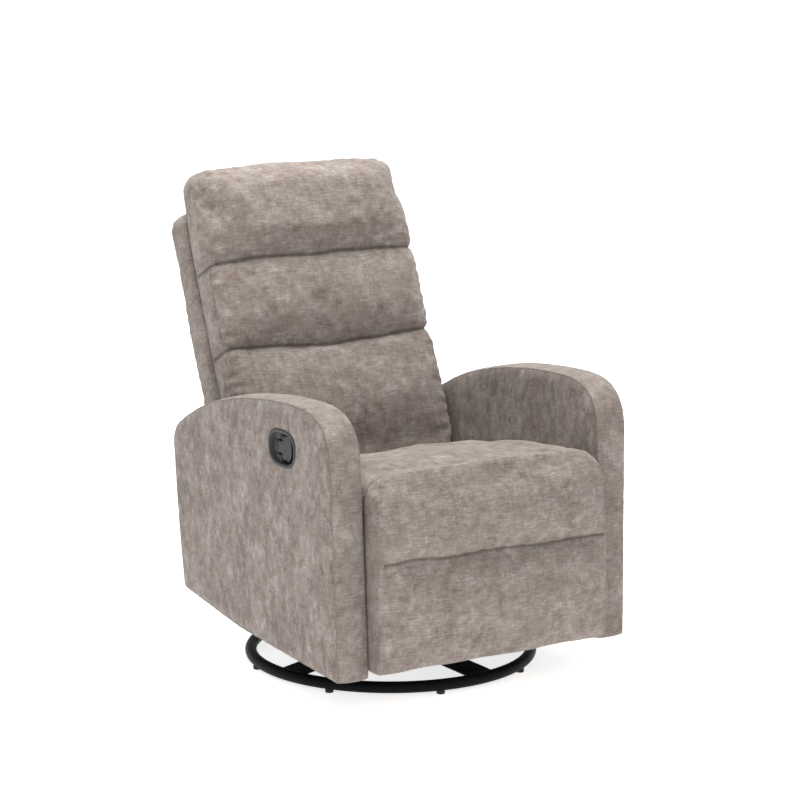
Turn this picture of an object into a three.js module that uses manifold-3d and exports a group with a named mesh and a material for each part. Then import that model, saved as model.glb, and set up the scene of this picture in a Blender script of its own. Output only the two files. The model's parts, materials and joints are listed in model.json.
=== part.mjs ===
// Swivel glider recliner: an upholstered nursery chair on a round steel base.
// Units are millimetres, +Z is up and the seat faces -Y.
// The floor is z = 0 and the origin lies under the middle of the chair.
import * as THREE from 'three';
import { mergeVertices } from 'three/addons/utils/BufferGeometryUtils.js';
import Module from 'manifold-3d';

const wasm = await Module();
wasm.setup();

// ---- driving dimensions ----
const GAP = 0.3; // left between pieces that touch
const SIDES = [['right', -1], ['left', 1]]; // the sitter's right is -X

// Base: a ring of tube with a pressed cross and a ball bearing at its centre.
const SWIVEL_Y = -40;
const RING_RADIUS = 305;
const RING_TUBE = 12.5;
const PAD_HEIGHT = 6;
const PAD_RADIUS = 9;
const PAD_COUNT = 8;
const CROSS_ANGLE = THREE.MathUtils.degToRad(11);
const CROSS_WIDTH = 66;
const CROSS_THICK = 5;
const CROSS_LOW = 16;
const CROSS_HIGH = 34;
const HUB_RADIUS = 95;
const RACE_INNER = 58;
const RACE_OUTER = 84;
const LOWER_PLATE_Z = CROSS_HIGH + CROSS_THICK + GAP;
const PLATE = 5;
const RACE_Z = LOWER_PLATE_Z + PLATE + GAP;
const RACE_HEIGHT = 6;

// Platform: it turns on the bearing and carries the four glide links.
const PLATFORM_Z = RACE_Z + RACE_HEIGHT + GAP;
const PLATFORM_THICK = 8;
const PLATFORM_HALF_X = 146;
const PLATFORM_HALF_Y = 150;
const STEEL = 4; // plate thickness of links and brackets
const GLIDE_HALF_Y = 115;
const GLIDE_TOP_Z = 240;
const GLIDE_LENGTH = 134;
const GLIDE_ROD = 5;
const BORE_CLEARANCE = 0.4;
const GLIDE_LINK_X = 154;
const GLIDE_RAIL_X = 162;

// Arms: a plywood board inside a padded cover, with one outline for both.
const ARM_INNER = 282; // at the bottom of the arm, like ARM_OUTER
const ARM_OUTER = 353;
const ARM_SPLAY = 0.017; // how far the arms lean outwards for each unit of height
const ARM_FRONT_Y = -416;
const ARM_FRONT_Z = 82;
const ARM_KNEE = [0, 104]; // where the bottom edge bends, in y and z
const ARM_REAR_Y = 250;
const ARM_REAR_Z = 138;
const ARM_TOP_Z = 634;
const BOARD_X = 306;
const BOARD_THICK = 18;
const BOARD_INSET = 24;

// Carriage: rails between the arms and steel side plates for the mechanism.
const FRONT_RAIL_Y = -372;
const REAR_RAIL_Y = 205;
const RAIL_THICK = 20;
const MECH_X = 263;
const SEAT_TRAVEL = 45;
const SLIDE_PINS = [[-200, 285], [50, 262]]; // y and z of the seat's slide pins

// Seat: it slides on the carriage and slopes down to the back.
const SEAT_SLOPE = THREE.MathUtils.degToRad(8.8);
const SEAT_ORIGIN = [-384, 379];
const SEAT_LENGTH = 456;
const SEAT_THICK = 104;
const SOFT_HALF_X = 278;
const SEAT_FRAME_HALF_X = 257.5;
const SEAT_FRAME_DEPTH = 48;
const SEAT_RAIL = 24;
const SEAT_PLATE_X = 258;
const SPRING_WIRE = 2;
const SPRING_COUNT = 3;

// Back: hinged behind the seat.
const BACK_TILT = THREE.MathUtils.degToRad(22);
const HINGE = [115, 365];
const BACK_WIDTH = 514;
const CUSHION_LOW = 32;
const CUSHION_TOP = 728;
const CUSHION_FRONT = -30;
const CUSHION_REAR = 68;
const SHELL_FRONT = 70;
const SHELL_REAR = 136;
const SHELL_HALF_X = 262;
const SHELL_LOW = -6;
const SHELL_TOP = 650;
const SHELL_WALL = 14;
const BRACKET_X = 236;

// Legrest: it swings about the sewn front edge of the seat.
const LEG_HINGE = [-424, 478];
const LEG_BOARD_BACK = -387;
const LEG_BOARD_THICK = 12;
const LEG_BOARD_HALF_X = 270.5;
const LEG_PAD_FRONT = -466;
const LEG_PAD_LOW = 96;
const LEG_PAD_TOP = 474;
const DRIVE_PIVOT = [-374, 290];
const LEG_PIVOT = [-370, 344];
const LINK_JOINT = [
  DRIVE_PIVOT[0] + LEG_PIVOT[0] - LEG_HINGE[0],
  DRIVE_PIVOT[1] + LEG_PIVOT[1] - LEG_HINGE[1],
];
const DRIVE_LINK_X = 253;
const LEG_LINK_X = 263;
const LEG_BRACKET_X = 268;
const LINK_RADIUS = 10;
const STUD = 5;

// Release handle in the right arm.
const HANDLE_Y = -209;
const HANDLE_Z = 535;
const BEZEL_HALF = [57, 41];
const CUP_HALF = [49, 33.5];
const CUP_WALL = 2.5;
const CUP_DEPTH = 24;
const BEZEL_PROUD = 3;
const LEVER_PIVOT = [-355.5, -179];
const LEVER_FRONT_Y = -238;
const CABLE_RADIUS = 2.5;
const CABLE_X = -331;
const CABLE_EXIT_Z = 240;
const LATCH_PIVOT = [-232, 268];

// ---- materials ----
function finish(color, roughness, metalness = 0) {
  return new THREE.MeshStandardMaterial({ color, roughness, metalness });
}

const FABRIC = [0x8b7f78, 0.95];
const BLACK_PAINT = [0x0d0d0e, 0.35, 0.6];
const STEEL_FINISH = [0x2b2c2e, 0.45, 0.8];
const ZINC = [0xa9abae, 0.35, 0.9];
const PLYWOOD = [0xb08d62, 0.8];
const RUBBER = [0x151515, 0.85];
const PLASTIC = [0x232426, 0.5];

// ---- solids ----
function toSolid(geometry) {
  const bare = geometry.clone();
  bare.deleteAttribute('normal');
  bare.deleteAttribute('uv');
  const merged = mergeVertices(bare, 1e-4);
  const vertProperties = new Float32Array(merged.attributes.position.array);
  const triVerts = new Uint32Array(merged.index.array);
  return new wasm.Manifold(new wasm.Mesh({ numProp: 3, vertProperties, triVerts }));
}

function toGeometry(solid) {
  const data = solid.getMesh();
  const geometry = new THREE.BufferGeometry();
  geometry.setAttribute('position', new THREE.BufferAttribute(data.vertProperties, 3));
  geometry.setIndex(new THREE.BufferAttribute(data.triVerts, 1));
  geometry.computeVertexNormals();
  return geometry;
}

function join(first, ...others) {
  return toGeometry(others.reduce((solid, piece) => solid.add(toSolid(piece)), toSolid(first)));
}

function cut(first, ...tools) {
  return toGeometry(tools.reduce((solid, tool) => solid.subtract(toSolid(tool)), toSolid(first)));
}

function box(x0, x1, y0, y1, z0, z1) {
  const geometry = new THREE.BoxGeometry(x1 - x0, y1 - y0, z1 - z0);
  return geometry.translate((x0 + x1) / 2, (y0 + y1) / 2, (z0 + z1) / 2);
}

// A round bar along X from x0 to x1, centred on y and z.
function barX(x0, x1, y, z, radius, segments = 20) {
  const geometry = new THREE.CylinderGeometry(radius, radius, x1 - x0, segments);
  return geometry.rotateZ(Math.PI / 2).translate((x0 + x1) / 2, y, z);
}

function discZ(radius, z0, z1, segments = 40) {
  const geometry = new THREE.CylinderGeometry(radius, radius, z1 - z0, segments);
  return geometry.rotateX(Math.PI / 2).translate(0, 0, (z0 + z1) / 2);
}

// Extrudes an outline drawn in y and z along X from x0 to x1.
function plateX(shape, x0, x1, curveSegments = 10) {
  const geometry = new THREE.ExtrudeGeometry(shape, {
    depth: x1 - x0, bevelEnabled: false, curveSegments,
  });
  const turn = new THREE.Matrix4().makeBasis(
    new THREE.Vector3(0, 1, 0), new THREE.Vector3(0, 0, 1), new THREE.Vector3(1, 0, 0));
  return geometry.applyMatrix4(turn).translate(x0, 0, 0);
}

// The same for a plate that starts at |x| = x and goes outwards on one side.
function sidePlate(shape, side, x, thickness = STEEL) {
  return side > 0 ? plateX(shape, x, x + thickness) : plateX(shape, -x - thickness, -x);
}

function sideBar(side, x0, x1, y, z, radius) {
  return side > 0 ? barX(x0, x1, y, z, radius) : barX(-x1, -x0, y, z, radius);
}

function outline(points) {
  return new THREE.Shape(points.map(([a, b]) => new THREE.Vector2(a, b)));
}

function addHole(shape, [a, b], radius) {
  const hole = new THREE.Path();
  hole.absarc(a, b, radius, 0, Math.PI * 2, true);
  shape.holes.push(hole);
  return shape;
}

// A bar with round ends between two points, with a hole at each end.
function linkShape(start, end, radius, holeRadii) {
  const angle = Math.atan2(end[1] - start[1], end[0] - start[0]);
  const shape = new THREE.Shape();
  shape.absarc(start[0], start[1], radius, angle + Math.PI / 2, angle + Math.PI * 1.5, false);
  shape.absarc(end[0], end[1], radius, angle - Math.PI / 2, angle + Math.PI / 2, false);
  shape.closePath();
  [start, end].forEach((point, i) => holeRadii[i] && addHole(shape, point, holeRadii[i]));
  return shape;
}

function roundedRect(x0, x1, y0, y1, r) {
  const shape = new THREE.Shape();
  shape.absarc(x1 - r, y0 + r, r, -Math.PI / 2, 0, false);
  shape.absarc(x1 - r, y1 - r, r, 0, Math.PI / 2, false);
  shape.absarc(x0 + r, y1 - r, r, Math.PI / 2, Math.PI, false);
  shape.absarc(x0 + r, y0 + r, r, Math.PI, Math.PI * 1.5, false);
  shape.closePath();
  return shape;
}

function ellipseShape(halfA, halfB, a = 0, b = 0) {
  const shape = new THREE.Shape();
  shape.absellipse(a, b, halfA, halfB, 0, Math.PI * 2, false);
  return shape;
}

// A padded slab: its outline in x and z with soft edges, lying between y0 and y1.
function paddedSlab(x0, x1, z0, z1, y0, y1, radius, edge) {
  const shape = roundedRect(x0 + edge, x1 - edge, z0 + edge, z1 - edge, radius);
  const geometry = new THREE.ExtrudeGeometry(shape, {
    depth: y1 - y0 - 2 * edge, curveSegments: 5,
    bevelEnabled: true, bevelThickness: edge, bevelSize: edge, bevelSegments: 3,
  });
  return geometry.rotateX(Math.PI / 2).translate(0, y1 - edge, 0);
}

function mesh(name, geometry, look) {
  const piece = new THREE.Mesh(geometry, finish(...look));
  piece.name = name;
  return piece;
}

// ---- base ----
function baseRing() {
  const ring = new THREE.TorusGeometry(RING_RADIUS, RING_TUBE, 12, 64);
  ring.translate(0, 0, PAD_HEIGHT + GAP + RING_TUBE);
  return mesh('base_ring', ring, BLACK_PAINT);
}

// One strap of the cross: low at the ring, level under the hub.
function crossStrap(turn) {
  const reach = RING_RADIUS - RING_TUBE - 2.5;
  const flat = HUB_RADIUS + 12;
  const top = [[-reach, CROSS_LOW], [-flat, CROSS_HIGH], [flat, CROSS_HIGH], [reach, CROSS_LOW]];
  const under = top.map(([y, z]) => [y, z]).reverse();
  const upper = top.map(([y, z]) => [y, z + CROSS_THICK]);
  const shape = outline([...upper, ...under].reverse());
  const strap = plateX(shape, -CROSS_WIDTH / 2, CROSS_WIDTH / 2);
  return strap.rotateZ(CROSS_ANGLE + turn);
}

function baseCross() {
  return mesh('base_cross', join(crossStrap(0), crossStrap(Math.PI / 2)), BLACK_PAINT);
}

function footPads() {
  const pads = [];
  for (let i = 0; i < PAD_COUNT; i += 1) {
    const angle = CROSS_ANGLE + (i + 0.5) * (2 * Math.PI / PAD_COUNT);
    const pad = mesh(`foot_pad_${i + 1}`, discZ(PAD_RADIUS, 0, PAD_HEIGHT, 16), RUBBER);
    pad.position.set(RING_RADIUS * Math.cos(angle), RING_RADIUS * Math.sin(angle), 0);
    pads.push(pad);
  }
  return pads;
}

function bearingRace() {
  const profile = [
    [RACE_INNER, 0], [RACE_OUTER, 0], [RACE_OUTER, RACE_HEIGHT],
    [RACE_INNER, RACE_HEIGHT], [RACE_INNER, 0],
  ].map(([r, z]) => new THREE.Vector2(r, z));
  const race = new THREE.LatheGeometry(profile, 40).rotateX(Math.PI / 2);
  return mesh('bearing_race', race.translate(0, 0, RACE_Z), ZINC);
}

function base() {
  const group = new THREE.Group();
  group.position.set(0, SWIVEL_Y, 0);
  group.add(baseRing(), baseCross(), ...footPads(), bearingRace());
  const lower = discZ(HUB_RADIUS, LOWER_PLATE_Z, LOWER_PLATE_Z + PLATE);
  group.add(mesh('bearing_lower_plate', lower, STEEL_FINISH));
  return group;
}

// ---- platform and glide links ----
function platformSide(side) {
  const low = PLATFORM_Z;
  const ear = 18;
  const top = GLIDE_TOP_Z + 11;
  const shape = outline([
    [-PLATFORM_HALF_Y, low], [PLATFORM_HALF_Y, low],
    [GLIDE_HALF_Y + ear, top], [GLIDE_HALF_Y - ear, top],
    [GLIDE_HALF_Y - 45, low + 42], [-GLIDE_HALF_Y + 45, low + 42],
    [-GLIDE_HALF_Y + ear, top], [-GLIDE_HALF_Y - ear, top],
  ]);
  addHole(shape, [GLIDE_HALF_Y, GLIDE_TOP_Z], GLIDE_ROD + BORE_CLEARANCE);
  addHole(shape, [-GLIDE_HALF_Y, GLIDE_TOP_Z], GLIDE_ROD + BORE_CLEARANCE);
  return sidePlate(shape, side, PLATFORM_HALF_X + GAP);
}

function glideLink(side, end) {
  const y = end * GLIDE_HALF_Y;
  const bore = GLIDE_ROD + BORE_CLEARANCE;
  const low = [y, GLIDE_TOP_Z - GLIDE_LENGTH];
  const shape = linkShape(low, [y, GLIDE_TOP_Z], 13, [bore, bore]);
  return sidePlate(shape, side, GLIDE_LINK_X);
}

function platform() {
  const group = new THREE.Group();
  group.position.set(0, SWIVEL_Y, 0);
  const plate = box(-PLATFORM_HALF_X, PLATFORM_HALF_X, -PLATFORM_HALF_Y, PLATFORM_HALF_Y,
    PLATFORM_Z, PLATFORM_Z + PLATFORM_THICK);
  group.add(mesh('platform_plate', plate, STEEL_FINISH));
  const rodEnd = GLIDE_LINK_X + STEEL + 2;
  for (const [name, side] of SIDES) {
    group.add(mesh(`platform_side_${name}`, platformSide(side), STEEL_FINISH));
    group.add(mesh(`glide_link_front_${name}`, glideLink(side, -1), ZINC));
    group.add(mesh(`glide_link_rear_${name}`, glideLink(side, 1), ZINC));
  }
  for (const [name, end] of [['front', -1], ['rear', 1]]) {
    const rod = barX(-rodEnd, rodEnd, end * GLIDE_HALF_Y, GLIDE_TOP_Z, GLIDE_ROD);
    group.add(mesh(`glide_rod_${name}`, rod, ZINC));
  }
  return group;
}

// ---- arms ----
// The side outline in y and z, drawn in by `inset` on all edges but the bottom.
function armOutline(inset) {
  const shape = new THREE.Shape();
  const front = ARM_FRONT_Y + inset;
  const rear = ARM_REAR_Y - inset;
  const top = ARM_TOP_Z - inset;
  const [kneeY, kneeZ] = ARM_KNEE;
  const frontSlope = (kneeZ - ARM_FRONT_Z) / (kneeY - ARM_FRONT_Y);
  const rearSlope = (ARM_REAR_Z - kneeZ) / (ARM_REAR_Y - kneeY);
  shape.moveTo(front, ARM_FRONT_Z + frontSlope * inset);
  shape.lineTo(kneeY, kneeZ);
  shape.lineTo(rear, ARM_REAR_Z - rearSlope * inset);
  shape.lineTo(rear + 32, 470 - inset);
  shape.quadraticCurveTo(rear + 22, 503 - inset, rear - 12, 518 - inset);
  shape.bezierCurveTo(75, top - 18, -165, top, -265, top);
  shape.bezierCurveTo(-320, top, front + 23, 625 - inset, front + 16, 535);
  shape.closePath();
  return shape;
}

// Leans a shape that stands between or in the arms outwards with its height.
function splayed(geometry) {
  const position = geometry.attributes.position;
  for (let i = 0; i < position.count; i += 1) {
    const x = position.getX(i);
    position.setX(i, x + Math.sign(x) * ARM_SPLAY * (position.getZ(i) - ARM_FRONT_Z));
  }
  geometry.computeVertexNormals();
  return geometry;
}

function armBlank(side) {
  const edge = 5;
  const geometry = new THREE.ExtrudeGeometry(armOutline(edge), {
    depth: ARM_OUTER - ARM_INNER - 2 * edge, curveSegments: 9,
    bevelEnabled: true, bevelThickness: edge, bevelSize: edge, bevelSegments: 2,
  });
  const turn = new THREE.Matrix4().makeBasis(
    new THREE.Vector3(0, 1, 0), new THREE.Vector3(0, 0, 1), new THREE.Vector3(1, 0, 0));
  const inner = side > 0 ? ARM_INNER : -ARM_OUTER;
  return geometry.applyMatrix4(turn).translate(inner + edge, 0, 0);
}

function armBoardShape() {
  return armOutline(BOARD_INSET);
}

// The slot that the board fills, run out through the bottom of the padding.
function boardSlot(side) {
  const shape = armOutline(BOARD_INSET - GAP);
  const slot = sidePlate(shape, side, BOARD_X - GAP, BOARD_THICK + 2 * GAP);
  const x0 = side > 0 ? BOARD_X - GAP : -BOARD_X - BOARD_THICK - GAP;
  const front = ARM_FRONT_Y + BOARD_INSET - GAP;
  const rear = ARM_REAR_Y - BOARD_INSET + GAP;
  const below = box(x0, x0 + BOARD_THICK + 2 * GAP, front, rear, ARM_FRONT_Z - 20, ARM_REAR_Z + 4);
  return join(slot, below);
}

// Cuts in the right arm: the oval for the handle cup and the cable's groove.
function handleCuts() {
  const oval = ellipseShape(CUP_HALF[0] + GAP, CUP_HALF[1] + GAP, HANDLE_Y, HANDLE_Z);
  const cup = plateX(oval, -ARM_OUTER - 10, -BOARD_X - BOARD_THICK + 1, 14);
  const groove = box(CABLE_X - 6, -BOARD_X - BOARD_THICK + 1, HANDLE_Y - 6, HANDLE_Y + 6,
    CABLE_EXIT_Z - 8, HANDLE_Z);
  return [cup, groove, cableHole()];
}

function cableHole() {
  return barX(-BOARD_X - BOARD_THICK - 2, -ARM_INNER + 10, HANDLE_Y, CABLE_EXIT_Z, 8, 16);
}

function armPad(name, side) {
  const cuts = side < 0 ? handleCuts() : [];
  const pad = splayed(cut(armBlank(side), boardSlot(side), ...cuts));
  return mesh(`arm_pad_${name}`, pad, FABRIC);
}

function armBoard(name, side) {
  const plain = sidePlate(armBoardShape(), side, BOARD_X, BOARD_THICK);
  const board = side < 0 ? cut(plain, cableHole()) : plain;
  return mesh(`arm_board_${name}`, splayed(board), PLYWOOD);
}

// ---- carriage ----
function glideRail(name, side) {
  const z = GLIDE_TOP_Z - GLIDE_LENGTH;
  const rail = box(0, STEEL, FRONT_RAIL_Y + RAIL_THICK + GAP, REAR_RAIL_Y - GAP, 94, 130);
  rail.translate(side > 0 ? GLIDE_RAIL_X : -GLIDE_RAIL_X - STEEL, 0, 0);
  const studs = [-1, 1].map((end) => sideBar(side, GLIDE_LINK_X - 0.5, GLIDE_RAIL_X + 1,
    SWIVEL_Y + end * GLIDE_HALF_Y, z, GLIDE_ROD));
  return mesh(`glide_rail_${name}`, join(rail, ...studs), STEEL_FINISH);
}

// Side plate with two level slots for the seat, and a foot turned out to the arm.
function mechPlate(name, side) {
  const shape = outline([[-285, 206], [120, 206], [120, 286], [60, 300], [-230, 322], [-285, 322]]);
  const slotRadius = 6.6;
  for (const [y, z] of SLIDE_PINS) {
    const slot = new THREE.Path();
    slot.absarc(y, z, slotRadius, Math.PI / 2, -Math.PI / 2, true);
    slot.absarc(y - SEAT_TRAVEL, z, slotRadius, -Math.PI / 2, -Math.PI * 1.5, true);
    slot.closePath();
    shape.holes.push(slot);
  }
  const wall = sidePlate(shape, side, MECH_X);
  const footLow = 202;
  const reach = ARM_INNER + ARM_SPLAY * (footLow - ARM_FRONT_Z) - GAP;
  const foot = box(0, reach - MECH_X, -285, 120, footLow, footLow + 4.5);
  foot.translate(side > 0 ? MECH_X : -reach, 0, 0);
  const pieces = [wall, foot];
  if (side < 0) {
    const latchStud = sideBar(side, MECH_X + 3, MECH_X + 10, ...LATCH_PIVOT, STUD);
    pieces.push(latchStud);
  }
  return mesh(`mech_plate_${name}`, join(...pieces), STEEL_FINISH);
}

function rearPanel() {
  const shape = outline([[229, 144], [247, 144], [264, 300], [246, 300]]);
  const panel = splayed(plateX(shape, -ARM_INNER + GAP, ARM_INNER - GAP));
  return mesh('rear_panel', panel, FABRIC);
}

function crossRails() {
  const half = ARM_INNER - GAP;
  const front = box(-half, half, FRONT_RAIL_Y, FRONT_RAIL_Y + RAIL_THICK, 92, 128);
  const rear = box(-half, half, REAR_RAIL_Y, REAR_RAIL_Y + RAIL_THICK, 100, 190);
  return [
    mesh('front_rail', splayed(front), PLYWOOD),
    mesh('rear_rail', splayed(rear), PLYWOOD),
  ];
}

// ---- release handle ----
function bezel() {
  const flange = plateX(ellipseShape(...BEZEL_HALF, HANDLE_Y, HANDLE_Z),
    -ARM_OUTER - BEZEL_PROUD, -ARM_OUTER - GAP, 20);
  const cup = plateX(ellipseShape(...CUP_HALF, HANDLE_Y, HANDLE_Z),
    -ARM_OUTER - 1, -ARM_OUTER + CUP_DEPTH, 20);
  const inside = plateX(ellipseShape(CUP_HALF[0] - CUP_WALL, CUP_HALF[1] - CUP_WALL,
    HANDLE_Y, HANDLE_Z), -ARM_OUTER - 10, -ARM_OUTER + CUP_DEPTH - CUP_WALL, 20);
  return mesh('handle_bezel', splayed(cut(join(flange, cup), inside)), PLASTIC);
}

// The pull: a broad paddle at the front on a narrow stem that ends in a barrel.
function releaseLever() {
  const [x, y] = LEVER_PIVOT;
  const paddle = plateX(ellipseShape(19, 27, LEVER_FRONT_Y + 19, HANDLE_Z), x - 3, x + 3, 10);
  const stem = box(x - 3, x + 3, LEVER_FRONT_Y + 25, y, HANDLE_Z - 12, HANDLE_Z + 12);
  const barrel = discZ(6, HANDLE_Z - 14, HANDLE_Z + 14, 20).translate(x, y, 0);
  const bore = discZ(2.4, HANDLE_Z - 20, HANDLE_Z + 20, 16).translate(x, y, 0);
  return mesh('release_lever', cut(join(paddle, stem, barrel), bore), PLASTIC);
}

function leverPin() {
  const pin = discZ(2, HANDLE_Z - 18, HANDLE_Z + 18, 14);
  return mesh('release_lever_pin', pin.translate(...LEVER_PIVOT, 0), ZINC);
}

function releaseCable() {
  const top = HANDLE_Z - CUP_HALF[1] - 2;
  const bend = 26;
  const route = new THREE.CatmullRomCurve3([
    new THREE.Vector3(CABLE_X, HANDLE_Y, top),
    new THREE.Vector3(CABLE_X, HANDLE_Y, (top + CABLE_EXIT_Z) / 2),
    new THREE.Vector3(CABLE_X, HANDLE_Y, CABLE_EXIT_Z + bend),
    new THREE.Vector3(CABLE_X + 5, HANDLE_Y, CABLE_EXIT_Z + 5),
    new THREE.Vector3(CABLE_X + bend, HANDLE_Y, CABLE_EXIT_Z),
    new THREE.Vector3(-ARM_INNER + 5, HANDLE_Y, CABLE_EXIT_Z),
  ], false, 'catmullrom', 0.3);
  const section = new THREE.Shape();
  section.absarc(0, 0, CABLE_RADIUS, 0, Math.PI * 2, false);
  const cable = new THREE.ExtrudeGeometry(section, {
    steps: 40, curveSegments: 4, extrudePath: route, bevelEnabled: false,
  });
  return mesh('release_cable', splayed(cable), RUBBER);
}

function releaseLatch() {
  const tail = [LATCH_PIVOT[0] + 22, LATCH_PIVOT[1] - 20];
  const shape = linkShape(LATCH_PIVOT, tail, 9, [STUD + BORE_CLEARANCE, 0]);
  return mesh('release_latch', sidePlate(shape, -1, MECH_X + STEEL + 1), ZINC);
}

function carriage() {
  const group = new THREE.Group();
  group.add(...crossRails(), rearPanel());
  for (const [name, side] of SIDES) {
    group.add(glideRail(name, side), mechPlate(name, side));
    group.add(armPad(name, side), armBoard(name, side));
  }
  group.add(bezel(), releaseLever(), leverPin(), releaseCable(), releaseLatch());
  return group;
}

// ---- seat ----
// Side plate: pivots for the drive link in front and for the back behind.
function seatPlate(name, side) {
  const [gy, gz] = DRIVE_PIVOT;
  const [hy, hz] = HINGE;
  const shape = outline([
    [gy - 9, gz - 9], [gy + 14, gz - 12], [-330, 264], [90, 240], [hy + 15, hz - 20],
    [hy + 15, hz + 8], [hy + 8, hz + 14], [hy - 8, hz + 14], [hy - 16, hz - 10],
    [72, 300], [-378, 368], [gy - 9, 330],
  ]);
  const wall = sidePlate(shape, side, SEAT_PLATE_X);
  const slides = SLIDE_PINS.map(([y, z]) => sideBar(side, SEAT_PLATE_X + 3, MECH_X + 6, y, z, 6));
  const driveStud = sideBar(side, DRIVE_LINK_X + 0.2, SEAT_PLATE_X + 1, gy, gz, STUD);
  const hingeStud = sideBar(side, BRACKET_X - 1, SEAT_PLATE_X + 1, hy, hz, 6);
  return mesh(`seat_plate_${name}`, join(wall, ...slides, driveStud, hingeStud), STEEL_FINISH);
}

// Timber frame with an open middle, drawn from above.
function seatFrame() {
  const half = SEAT_FRAME_HALF_X;
  const shape = outline([[-half, 8], [half, 8], [half, SEAT_LENGTH - 12], [-half, SEAT_LENGTH - 12]]);
  const inner = outline([
    [-half + SEAT_RAIL, 8 + SEAT_RAIL], [-half + SEAT_RAIL, SEAT_LENGTH - 12 - SEAT_RAIL],
    [half - SEAT_RAIL, SEAT_LENGTH - 12 - SEAT_RAIL], [half - SEAT_RAIL, 8 + SEAT_RAIL],
  ]);
  shape.holes.push(new THREE.Path(inner.getPoints()));
  const frame = new THREE.ExtrudeGeometry(shape, { depth: SEAT_FRAME_DEPTH, bevelEnabled: false });
  return mesh('seat_frame', frame.translate(0, 0, -SEAT_FRAME_DEPTH - GAP), PLYWOOD);
}

// A sinuous wire spring that runs from the front rail to the rear rail.
function seatSpring(index) {
  const start = 8 + SEAT_RAIL + 3;
  const end = SEAT_LENGTH - 12 - SEAT_RAIL - 3;
  const x = (index - (SPRING_COUNT - 1) / 2) * 130;
  const bends = 14;
  const swing = 24;
  const points = [];
  for (let i = 0; i <= bends * 2; i += 1) {
    const offset = i === 0 || i === bends * 2 ? 0 : swing * Math.sin(i * Math.PI / 2);
    points.push(new THREE.Vector3(x + offset, start + (end - start) * i / (bends * 2), -14));
  }
  const section = new THREE.Shape();
  section.absarc(0, 0, SPRING_WIRE, 0, Math.PI * 2, false);
  const spring = new THREE.ExtrudeGeometry(section, {
    steps: bends * 4, curveSegments: 3, bevelEnabled: false,
    extrudePath: new THREE.CatmullRomCurve3(points, false, 'catmullrom', 0.5),
  });
  return mesh(`seat_spring_${index + 1}`, spring, ZINC);
}

function seatCushion() {
  const slab = paddedSlab(-SOFT_HALF_X, SOFT_HALF_X, 0, SEAT_THICK, 0, SEAT_LENGTH, 14, 8);
  return mesh('seat_cushion', slab, FABRIC);
}

function seat() {
  const sloped = new THREE.Group();
  sloped.position.set(0, ...SEAT_ORIGIN);
  sloped.rotation.x = -SEAT_SLOPE;
  sloped.add(seatCushion(), seatFrame());
  for (let i = 0; i < SPRING_COUNT; i += 1) sloped.add(seatSpring(i));
  const group = new THREE.Group();
  group.add(sloped);
  for (const [name, side] of SIDES) group.add(seatPlate(name, side));
  return group;
}

// ---- back, in its own frame: y is its depth and z runs up it from the hinge ----
function backShell() {
  const half = SHELL_HALF_X;
  const slab = paddedSlab(-half, half, SHELL_LOW, SHELL_TOP, SHELL_FRONT, SHELL_REAR, 22, 10);
  const pocket = box(-half + SHELL_WALL, half - SHELL_WALL, SHELL_FRONT - 5,
    SHELL_REAR - SHELL_WALL, SHELL_LOW - 5, SHELL_TOP - SHELL_WALL);
  return mesh('back_shell', cut(slab, pocket), FABRIC);
}

// Two stiles and three rails, glued and stapled as one ladder.
function backFrame() {
  const depth = [SHELL_FRONT + 2, SHELL_FRONT + 34];
  const foot = SHELL_LOW + 24;
  const head = SHELL_TOP - SHELL_WALL - 6;
  const stiles = SIDES.map(([, side]) => {
    const inner = side > 0 ? 200 : -234;
    return box(inner, inner + 34, ...depth, foot, head);
  });
  const rails = [foot, (foot + head) / 2 - 30, head - 60].map((z) => box(-201, 201, ...depth, z, z + 60));
  return mesh('back_frame', join(...stiles, ...rails), PLYWOOD);
}

function backCushion() {
  const half = BACK_WIDTH / 2;
  const slab = paddedSlab(-half, half, CUSHION_LOW, CUSHION_TOP, CUSHION_FRONT, CUSHION_REAR, 24, 12);
  return mesh('back_cushion', slab, FABRIC);
}

// A bent arm of plate from the hinge, under the cushion, and up beside the stile.
function backBracket(name, side) {
  const shape = outline([
    [-12, -12], [100, -14], [100, 240], [68, 240], [68, 28], [60, 18], [-12, 18],
  ]);
  addHole(shape, [0, 0], 6 + BORE_CLEARANCE);
  return mesh(`back_bracket_${name}`, sidePlate(shape, side, BRACKET_X), STEEL_FINISH);
}

function back() {
  const group = new THREE.Group();
  group.position.set(0, ...HINGE);
  group.rotation.x = -BACK_TILT;
  group.add(backShell(), backFrame(), backCushion());
  for (const [name, side] of SIDES) group.add(backBracket(name, side));
  return group;
}

// ---- legrest ----
function driveLink(name, side) {
  const shape = linkShape(DRIVE_PIVOT, LINK_JOINT, LINK_RADIUS, [STUD + BORE_CLEARANCE, 0]);
  const link = sidePlate(shape, side, DRIVE_LINK_X);
  const stud = sideBar(side, DRIVE_LINK_X + 2, LEG_LINK_X + STEEL + 1, ...LINK_JOINT, STUD);
  return mesh(`drive_link_${name}`, join(link, stud), ZINC);
}

function driveTube() {
  const end = DRIVE_LINK_X - GAP;
  return mesh('drive_tube', barX(-end, end, ...DRIVE_PIVOT, 8), STEEL_FINISH);
}

function legLink(name, side) {
  const bore = STUD + BORE_CLEARANCE;
  const shape = linkShape(LEG_PIVOT, LINK_JOINT, LINK_RADIUS, [bore, bore + 0.3]);
  return mesh(`leg_link_${name}`, sidePlate(shape, side, LEG_LINK_X), ZINC);
}

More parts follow.
